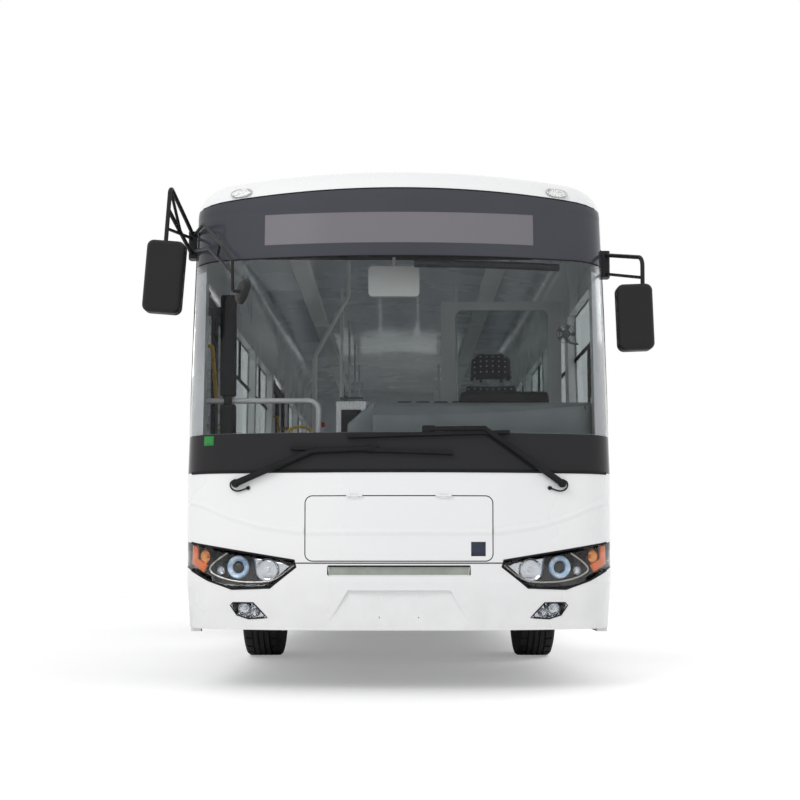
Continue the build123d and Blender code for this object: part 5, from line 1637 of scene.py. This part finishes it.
COOLING_UNIT, BATTERY_POD = sorted(islands("roof_units"), key=lambda corners: corners[0].y)
COOLING_TOP = COOLING_UNIT[1].z
FAN_DEPTHS = (4.05, 4.65, 5.25, 5.85)
FAN_X = 0.36
FAN_R = 0.2
FAN_RIM = ((-0.004, FAN_R + 0.02), (0.008, FAN_R + 0.016), (0.008, FAN_R), (-0.004, FAN_R - 0.006))
WELL_HALF = 0.002
GUARD_RINGS = (0.05, 0.1, 0.15)
GUARD_HALF = 0.004
GUARD_Z = (0.003, 0.007)
SPOKE_COUNT = 8
SPOKE_LIFT = Vector((0, 0, 0.006))
LID_JOINTS = 3
LID_MARGIN = 0.1
LID_HALF = 0.006
LID_Z = (-0.004, 0.003)
LOUVRE_COUNT = 12
LOUVRE_START = 0.35
LOUVRE_PITCH = 0.18
LOUVRE_LENGTH = 0.11
LOUVRE_X = (-0.006, 0.004)
LOUVRE_Z = (-0.14, -0.08)
HATCH_DEPTHS = (2.0, 10.0)
# Half width, foot and top over the crown of the roof, and edge.
HATCH_FRAME = (0.38, -0.05, 0.02, 0.012)
HATCH_LID = (0.35, -0.02, 0.055, 0.03)
HATCH_LENGTH = 0.8


def add_fan(guard, well, centre):
    """Round guard of a fan with its rings and spokes, over a dark well."""
    add_spun(guard, FAN_RIM, centre, (0, 0, 1), 36)
    foot, top = GUARD_Z
    for radius in GUARD_RINGS:
        outer = radius + GUARD_HALF
        inner = radius - GUARD_HALF
        add_spun(guard, ((foot, outer), (top, outer), (top, inner), (foot, inner)), centre, (0, 0, 1), 32)
    add_drum(well, centre - Vector((0, 0, WELL_HALF)), centre + Vector((0, 0, WELL_HALF)), FAN_R, sides=36)
    for k in range(SPOKE_COUNT):
        angle = 2 * pi * k / SPOKE_COUNT
        out = Vector((cos(angle), sin(angle), 0)) * FAN_R
        add_drum(guard, centre + SPOKE_LIFT, centre + out + SPOKE_LIFT, GUARD_HALF, sides=6)


def roof_details():
    """Fans and louvres of the cooling unit, lid joints of the battery pod, and two roof hatches."""
    guard = bmesh.new()
    well = bmesh.new()
    for depth in FAN_DEPTHS:
        for x in (-FAN_X, FAN_X):
            add_fan(guard, well, Vector((x, FRONT_Y + depth, COOLING_TOP)))
    finish_piece("fan_guards", guard, STEEL)
    finish_piece("fan_wells", well, BLACK)
    lids = bmesh.new()
    low, high = BATTERY_POD
    for k in range(1, LID_JOINTS + 1):
        y = low.y + (high.y - low.y) * k / (LID_JOINTS + 1)
        add_block(lids, (low.x + LID_MARGIN, y - LID_HALF, high.z + LID_Z[0]),
                  (high.x - LID_MARGIN, y + LID_HALF, high.z + LID_Z[1]), 0.001, 1)
    low, high = COOLING_UNIT
    for side in (-1, 1):
        x0, x1 = (side * (high.x + out) for out in LOUVRE_X)
        for k in range(LOUVRE_COUNT):
            y = low.y + LOUVRE_START + k * LOUVRE_PITCH
            add_block(lids, (x0, y, high.z + LOUVRE_Z[0]), (x1, y + LOUVRE_LENGTH, high.z + LOUVRE_Z[1]),
                      0.002, 1)
    finish_piece("roof_unit_joints", lids, RUBBER)
    hatch = bmesh.new()
    for depth in HATCH_DEPTHS:
        y = FRONT_Y + depth
        crown = SKIN.ray_cast(Vector((0.0, y, FAR)), Vector((0, 0, -1)))[0].z
        for half, foot, top, edge in (HATCH_FRAME, HATCH_LID):
            length = half * HATCH_LENGTH
            add_block(hatch, (-half, y - length, crown + foot), (half, y + length, crown + top), edge, 3)
    finish_piece("roof_hatches", hatch, ROOF_UNIT)


roof_details()


# Front fittings

CREASE_HIGH = 0.024
CREASE_LOW = 0.02
CREASE_OUT = 0.005
CREASE_FADE_OUT = 0.0003
CREASE_STEP = 0.03
CREASE_END = 1.21
CREASE_POINTS = ((0.0, 0.9), (0.545, 0.9), (0.8, 0.935), (1.0, 1.0), (1.13, 1.055), (CREASE_END, 1.075))
HATCH_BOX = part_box("front_hatch")
HATCH_INSIDE = 0.004
HATCH_OUTSIDE = 0.01


def crease_height(x):
    """Height of the pressed line at a place across the front."""
    across = abs(x)
    for (x0, z0), (x1, z1) in zip(CREASE_POINTS[:-1], CREASE_POINTS[1:]):
        if across <= x1:
            return z0 + (z1 - z0) * (across - x0) / (x1 - x0)
    return CREASE_POINTS[-1][1]


def crease_strip(name, x0, x1, body):
    """Pressed line across a front panel: a shallow step that fades upwards."""
    rows = {-1: (-CREASE_LOW, CREASE_FADE_OUT), 0: (0.0, CREASE_OUT), 1: (CREASE_HIGH, CREASE_FADE_OUT)}
    mesh = bmesh.new()
    bmesh.ops.create_grid(mesh, x_segments=max(2, round(abs(x1 - x0) / CREASE_STEP)), y_segments=2, size=0.5)
    for vert in mesh.verts:
        x = x0 + (x1 - x0) * (vert.co.x + 0.5)
        rise, out = rows[round(2 * vert.co.y)]
        vert.co = skin_frame(x, crease_height(x) + rise, -out)[0]
    face_forwards(mesh)
    finish_piece(name, mesh, WHITE, body, 20.0, False)


crease_strip("hatch_crease", HATCH_BOX[0].x + HATCH_INSIDE, HATCH_BOX[1].x - HATCH_INSIDE, "hatch")
crease_strip("left_crease", HATCH_BOX[1].x + HATCH_OUTSIDE, CREASE_END, "bus")
crease_strip("right_crease", -CREASE_END, HATCH_BOX[0].x - HATCH_OUTSIDE, "bus")

ENTRANCE_PLATE = ((-1.125, 1.4), (-1.065, 1.4), (-1.065, 1.455), (-1.125, 1.455))
HATCH_PLATE = ((0.405, 0.766), (0.487, 0.766), (0.487, 0.846), (0.405, 0.846))
draped_plate("entrance_plate", ENTRANCE_PLATE, -0.0006, 0.0005, GREEN_PLATE, 2)
draped_plate("hatch_plate", HATCH_PLATE, -0.0009, 0.0007, BLUE_PLATE, 2, "hatch")

WIPER_ARMS = (
    ((-0.928, 1.178), (-0.489, 1.359), (-0.155, 1.37)),
    ((0.928, 1.178), (0.483, 1.486), (0.167, 1.48)),
)
WIPER_BLADES = (
    ((-0.606, 1.3757), (0.296, 1.3473)),
    ((0.617, 1.4677), (-0.281, 1.4403)),
)
WIPER_STEPS = 8
ARM_SINK = 0.006
ARM_R = (0.02, 0.015, 0.013)
BLADE_SINK = 0.013
BLADE_R = (0.012, 0.004)
CAP_SINK = 0.01
CAP_LENGTH = 0.024
CAP_R = (0.026, 0.02)
CLIP_SINK = 0.012
CLIP = ((-0.036, -0.004, -0.022), (0.036, 0.02, 0.022))
CLIP_EDGE = 0.008
PIPE_LOOP = ((0.93, 1.2), (0.953, 1.186), (0.956, 1.162), (0.94, 1.142), (0.912, 1.135), (0.882, 1.142),
             (0.856, 1.152))
PIPE_OUT = 0.012
PIPE_R = 0.0045
PLUG_SINK = 0.001
PLUG_LENGTH = 0.018
PLUG_R = (0.012, 0.009)
WIPER_STRIPS = skin_tree(("wipers",))


def on_wiper(x, z, sink):
    """Point on the face of a wiper strip, moved back into it, and the strip's outward direction."""
    place, out, _, _ = WIPER_STRIPS.ray_cast(Vector((x, -FAR, z)), Vector((0, 1, 0)))
    return place - out * sink, out


def along_wiper(start, end, sink):
    """Points between two places on a wiper strip."""
    points = []
    for k in range(WIPER_STEPS + 1):
        x, z = Vector(start).lerp(Vector(end), k / WIPER_STEPS)
        points.append(on_wiper(x, z, sink)[0])
    return points


def wiper_fittings():
    """Fuller arms, clips and blade backs over the wiper strips, with a bent washer pipe at each pivot."""
    dark = bmesh.new()
    pipes = bmesh.new()
    for side, (pivot, elbow, clip), (near, far) in zip((-1, 1), WIPER_ARMS, WIPER_BLADES):
        add_tube(dark, along_wiper(pivot, elbow, ARM_SINK), ARM_R[0], 12, ARM_R[1])
        add_tube(dark, along_wiper(elbow, clip, ARM_SINK), ARM_R[1], 12, ARM_R[2])
        share = (clip[0] - near[0]) / (far[0] - near[0])
        grip = (clip[0], near[1] + (far[1] - near[1]) * share)
        for tip in (near, far):
            add_tube(dark, along_wiper(grip, tip, BLADE_SINK), BLADE_R[0], 10, BLADE_R[1])
        cap, out = on_wiper(*pivot, CAP_SINK)
        add_drum(dark, cap, cap + out * CAP_LENGTH, *CAP_R, 24, 0.004)
        middle = on_wiper(*clip, CLIP_SINK)[0]
        add_block(dark, middle + Vector(CLIP[0]), middle + Vector(CLIP[1]), CLIP_EDGE, 3)
        loop = smooth_line([(x, 0.0, z) for x, z in on_half(side, PIPE_LOOP)], 5)
        add_tube(pipes, [skin_frame(point.x, point.z, -PIPE_OUT)[0] for point in loop], PIPE_R, 8)
        plug, out = skin_frame(side * PIPE_LOOP[-1][0], PIPE_LOOP[-1][1], PLUG_SINK)
        add_drum(pipes, plug, plug + out * PLUG_LENGTH, *PLUG_R, 16, 0.002)
    finish_piece("wiper_fittings", dark, BLACK)
    finish_piece("washer_pipes", pipes, RUBBER)


wiper_fittings()

# Middle, width, height and tilt in degrees.
RIGHT_MIRROR = ((-1.324, FRONT_Y + 0.023, 2.338), 0.188, 0.38, 4.4)
LEFT_MIRROR = ((1.329, FRONT_Y + 0.023, 2.108), 0.175, 0.345, -2.0)
CAB_MIRROR = ((-0.03, FRONT_Y + 0.348, 2.385), 0.28, 0.16, 0.0)
MIRROR_CORNER = 0.03
MIRROR_T = 0.006
LOOK_DOWN_PLACE = Vector((-0.858, FRONT_Y - 0.228, 2.216))
LOOK_DOWN_AXIS = Vector((0.83, 0.5, -0.22)).normalized()
LOOK_DOWN_OUT = 0.014
LOOK_DOWN_PROFILE = ((0.0, 0.066), (0.003, 0.064), (0.007, 0.045), (0.009, 0.02), (0.0095, 0.0))


def mirror_glass(mesh, centre, width, height, tilt):
    """Rounded mirror plate that faces backwards, turned about its middle."""
    plate = bmesh.new()
    x = width / 2
    z = height / 2
    outline_face(plate, ((-x, 0.0, -z), (x, 0.0, -z), (x, 0.0, z), (-x, 0.0, z)), MIRROR_CORNER)
    thicken(plate, MIRROR_T)
    place = Matrix.Translation(centre) @ Matrix.Rotation(radians(tilt), 4, "Y")
    bmesh.ops.transform(plate, matrix=place, verts=plate.verts)
    take_in(mesh, plate)


def mirror_faces():
    """Glass of the outside mirrors, the look-down mirror and the cab mirror."""
    mesh = bmesh.new()
    for mirror in (RIGHT_MIRROR, LEFT_MIRROR, CAB_MIRROR):
        mirror_glass(mesh, *mirror)
    centre = LOOK_DOWN_PLACE + LOOK_DOWN_AXIS * LOOK_DOWN_OUT
    add_spun(mesh, LOOK_DOWN_PROFILE, centre, LOOK_DOWN_AXIS, 36)
    finish_piece("mirror_faces", mesh, MIRROR, angle=25.0)


mirror_faces()


# Cabin fittings

PARTITION_X = (0.395, 1.065)
PARTITION_Z = (1.495, 2.505)
PARTITION_GLASS_HALF = 0.003
BLIND_X = (0.09, 0.3, 0.5, 0.7, 0.95)
BLIND_Z = 2.46
BLIND_INSET = 0.055
BLIND_R = 0.022
POST_COVER_X = (-1.064, -0.972)
POST_COVER_Y = (FRONT_Y + 0.385, FRONT_Y + 0.452)
POST_COVER_RUNS = ((1.45, 1.665), (1.715, 2.32))
POST_COVER_EDGE = 0.01
POST_BRACKET = ((-1.15, FRONT_Y + 0.4, 2.2), (-1.03, FRONT_Y + 0.425, 2.25))
POST_NECK = ((-1.04, FRONT_Y + 0.395, 1.66), (-0.996, FRONT_Y + 0.42, 1.72))
CAB_FAN = Vector((1.1, FRONT_Y + 1.18, 2.22))
CAB_FAN_RINGS = (0.062, 0.045, 0.027)
CAB_FAN_WIRE = ((-0.003, 0.0), (0.0, 0.002), (0.003, 0.0), (0.0, -0.002), (-0.003, 0.0))
CAB_FAN_CAGE = Vector((0, -0.02, 0))
CAB_FAN_MOTOR_Y = (-0.015, 0.04)
CAB_FAN_MOTOR_R = (0.03, 0.024)
CAB_FAN_BLADES = 5
CAB_FAN_BLADE = (0.014, 0.058)
CAB_FAN_BLADE_R = (0.004, 0.016)
CAB_FAN_ARM = ((0, 0.03, -0.02), (0.03, 0.035, -0.05), (0.09, 0.035, -0.06))
CAB_FAN_ARM_R = 0.007


def driver_fan():
    """Small fan on an arm beside the driver's window."""
    fan = bmesh.new()
    for ring in CAB_FAN_RINGS:
        profile = [(along, ring + out) for along, out in CAB_FAN_WIRE]
        add_spun(fan, profile, CAB_FAN + CAB_FAN_CAGE, (0, 1, 0), 28)
    add_drum(fan, *[CAB_FAN + Vector((0, y, 0)) for y in CAB_FAN_MOTOR_Y], *CAB_FAN_MOTOR_R, 20, 0.004)
    for k in range(CAB_FAN_BLADES):
        angle = 2 * pi * k / CAB_FAN_BLADES
        out = Vector((cos(angle), 0, sin(angle)))
        add_drum(fan, *[CAB_FAN + out * reach for reach in CAB_FAN_BLADE], *CAB_FAN_BLADE_R, 8)
    add_tube(fan, smooth_line([CAB_FAN + Vector(point) for point in CAB_FAN_ARM], 5), CAB_FAN_ARM_R, 8)
    finish_piece("driver_fan", fan, DASH)


def cab_fittings():
    """Glass of the driver's partition, sun blind, door-post cover and the driver's fan."""
    low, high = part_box("driver_partition")
    middle = (low.y + high.y) / 2
    glass = bmesh.new()
    add_block(glass, (PARTITION_X[0], middle - PARTITION_GLASS_HALF, PARTITION_Z[0]),
              (PARTITION_X[1], middle + PARTITION_GLASS_HALF, PARTITION_Z[1]), 0.001, 1)
    finish_piece("partition_glass", glass, SIDE_GLASS)
    blind = bmesh.new()
    add_tube(blind, [skin_frame(x, BLIND_Z, BLIND_INSET)[0] for x in BLIND_X], BLIND_R, 14)
    finish_piece("sun_blind", blind, BLIND)
    cover = bmesh.new()
    for z0, z1 in POST_COVER_RUNS:
        add_block(cover, (POST_COVER_X[0], POST_COVER_Y[0], z0), (POST_COVER_X[1], POST_COVER_Y[1], z1),
                  POST_COVER_EDGE, 3)
    add_block(cover, *POST_BRACKET, 0.004)
    add_block(cover, *POST_NECK, 0.003)
    finish_piece("door_post_cover", cover, BLACK)
    driver_fan()


cab_fittings()

CEILING_LAMP_X = (0.66, 0.8)
CEILING_LAMP_Z = (2.885, 2.945)
CEILING_LAMP_RUNS = ((2.0, 4.4), (4.6, 7.0), (7.2, 9.6))
CEILING_LAMP_EDGE = 0.02
STRAP_X = 0.47
STRAP_START = FRONT_Y + 3.42
STRAP_PITCH = 0.42
STRAP_COUNT = 14
STRAP_HALF = (0.018, 0.014)
STRAP_Z = (1.985, 2.172)
STRAP_RING = ((-0.045, 1.9), (-0.05, 1.915), (-0.02, 1.985), (0.0, 1.995), (0.02, 1.985), (0.05, 1.915),
              (0.045, 1.9), (0.0, 1.893), (-0.045, 1.9))
STRAP_RING_R = 0.008


def ceiling_fittings():
    """Lamp strips along the ceiling, and hand straps on the long rails."""
    strips = bmesh.new()
    web = bmesh.new()
    grips = bmesh.new()
    half_x, half_y = STRAP_HALF
    for side in (-1, 1):
        inner, outer = (side * x for x in CEILING_LAMP_X)
        for start, end in CEILING_LAMP_RUNS:
            add_block(strips, (inner, FRONT_Y + start, CEILING_LAMP_Z[0]),
                      (outer, FRONT_Y + end, CEILING_LAMP_Z[1]), CEILING_LAMP_EDGE, 3)
        x = side * STRAP_X
        for k in range(STRAP_COUNT):
            y = STRAP_START + k * STRAP_PITCH
            add_block(web, (x - half_x, y - half_y, STRAP_Z[0]), (x + half_x, y + half_y, STRAP_Z[1]),
                      0.004, 1)
            add_tube(grips, [(x, y + across, z) for across, z in STRAP_RING], STRAP_RING_R, 8)
    finish_piece("ceiling_lamps", strips, LAMP_DIFFUSER)
    finish_piece("strap_webs", web, STRAP)
    finish_piece("strap_grips", grips, LAMP_DIFFUSER)


ceiling_fittings()


# Stage, light and camera

FLOOR_HALF = 60.0
SHADOW_NEAR = 6.4
SHADOW_FAR = 9.0
FLOOR_LIFT = 0.28


def stage_floor():
    """Pale floor that keeps the shadow near the bus and turns white far away."""
    mesh = bmesh.new()
    bmesh.ops.create_grid(mesh, x_segments=2, y_segments=2, size=FLOOR_HALF)
    data = bpy.data.meshes.new("stage_floor")
    mesh.to_mesh(data)
    mesh.free()
    floor = bpy.data.objects.new("stage_floor", data)
    bpy.context.scene.collection.objects.link(floor)
    material, tree, shader, place = new_finish("stage_pale")
    set_sockets(shader, Base_Color=srgb(244, 244, 244), Roughness=0.9)
    length = tree.nodes.new("ShaderNodeVectorMath")
    length.operation = "LENGTH"
    tree.links.new(place, length.inputs[0])
    far = span(tree, length.outputs["Value"], SHADOW_NEAR, SHADOW_FAR)
    glow = tree.nodes.new("ShaderNodeEmission")
    mix = tree.nodes.new("ShaderNodeMixShader")
    tree.links.new(far, mix.inputs["Fac"])
    rays = tree.nodes.new("ShaderNodeLightPath")
    lift = tree.nodes.new("ShaderNodeEmission")
    seen = combine(tree, "MULTIPLY", rays.outputs["Is Camera Ray"], FLOOR_LIFT)
    tree.links.new(seen, lift.inputs["Strength"])
    both = tree.nodes.new("ShaderNodeAddShader")
    tree.links.new(shader.outputs[0], both.inputs[0])
    tree.links.new(lift.outputs[0], both.inputs[1])
    tree.links.new(both.outputs[0], mix.inputs[1])
    tree.links.new(glow.outputs[0], mix.inputs[2])
    tree.links.new(mix.outputs[0], tree.nodes["Material Output"].inputs["Surface"])
    data.materials.append(material)


WORLD_STRENGTH = 0.72
LAMP_POWER = 320.0


def studio_world():
    """White surroundings: full white where they are seen or mirrored, dimmer as a light."""
    world = bpy.data.worlds.new("studio")
    world.use_nodes = True
    bpy.context.scene.world = world
    tree = world.node_tree
    rays = tree.nodes.new("ShaderNodeLightPath")
    seen = combine(tree, "MAXIMUM", rays.outputs["Is Camera Ray"], rays.outputs["Is Glossy Ray"])
    seen = combine(tree, "MAXIMUM", seen, rays.outputs["Is Transmission Ray"])
    strength = span(tree, seen, 0.0, 1.0, WORLD_STRENGTH, 1.0)
    ground = tree.nodes["Background"]
    ground.inputs["Color"].default_value = (1.0, 1.0, 1.0, 1.0)
    tree.links.new(strength, ground.inputs["Strength"])


def soft_lamp(name, place, aim, size, power):
    """Large square lamp turned towards a point."""
    data = bpy.data.lights.new(name, "AREA")
    data.size = size
    data.energy = power
    lamp = bpy.data.objects.new(name, data)
    lamp.location = place
    lamp.rotation_euler = (Vector(aim) - Vector(place)).to_track_quat("-Z", "Y").to_euler()
    lamp.visible_glossy = False
    bpy.context.scene.collection.objects.link(lamp)


CAMERA_LENS = 56.24
CAMERA_DISTANCE = 7.0
CAMERA_HEIGHT = 0.811
CAMERA_PITCH = 3.0
CAMERA_SHIFT = (0.0013, 0.1033)


def photo_camera():
    """Low camera straight before the front, turned up a little."""
    data = bpy.data.cameras.new("photo_camera")
    data.lens = CAMERA_LENS
    data.shift_x, data.shift_y = CAMERA_SHIFT
    camera = bpy.data.objects.new("photo_camera", data)
    camera.location = (0.0, FRONT_Y - CAMERA_DISTANCE, CAMERA_HEIGHT)
    camera.rotation_euler = (radians(90 + CAMERA_PITCH), 0.0, 0.0)
    bpy.context.scene.collection.objects.link(camera)
    bpy.context.scene.camera = camera


stage_floor()
studio_world()
soft_lamp("key_lamp", (-5.0, FRONT_Y - 7.0, 8.0), (0.0, FRONT_Y, 1.2), 5.0, LAMP_POWER)
soft_lamp("side_lamp", (9.0, 2.0, 7.0), (0.0, 0.0, 1.2), 6.0, LAMP_POWER)
soft_lamp("rear_lamp", (-7.0, REAR_Y + 6.0, 7.0), (0.0, REAR_Y, 1.2), 6.0, LAMP_POWER)
photo_camera()
bpy.context.scene.view_settings.view_transform = "Standard"
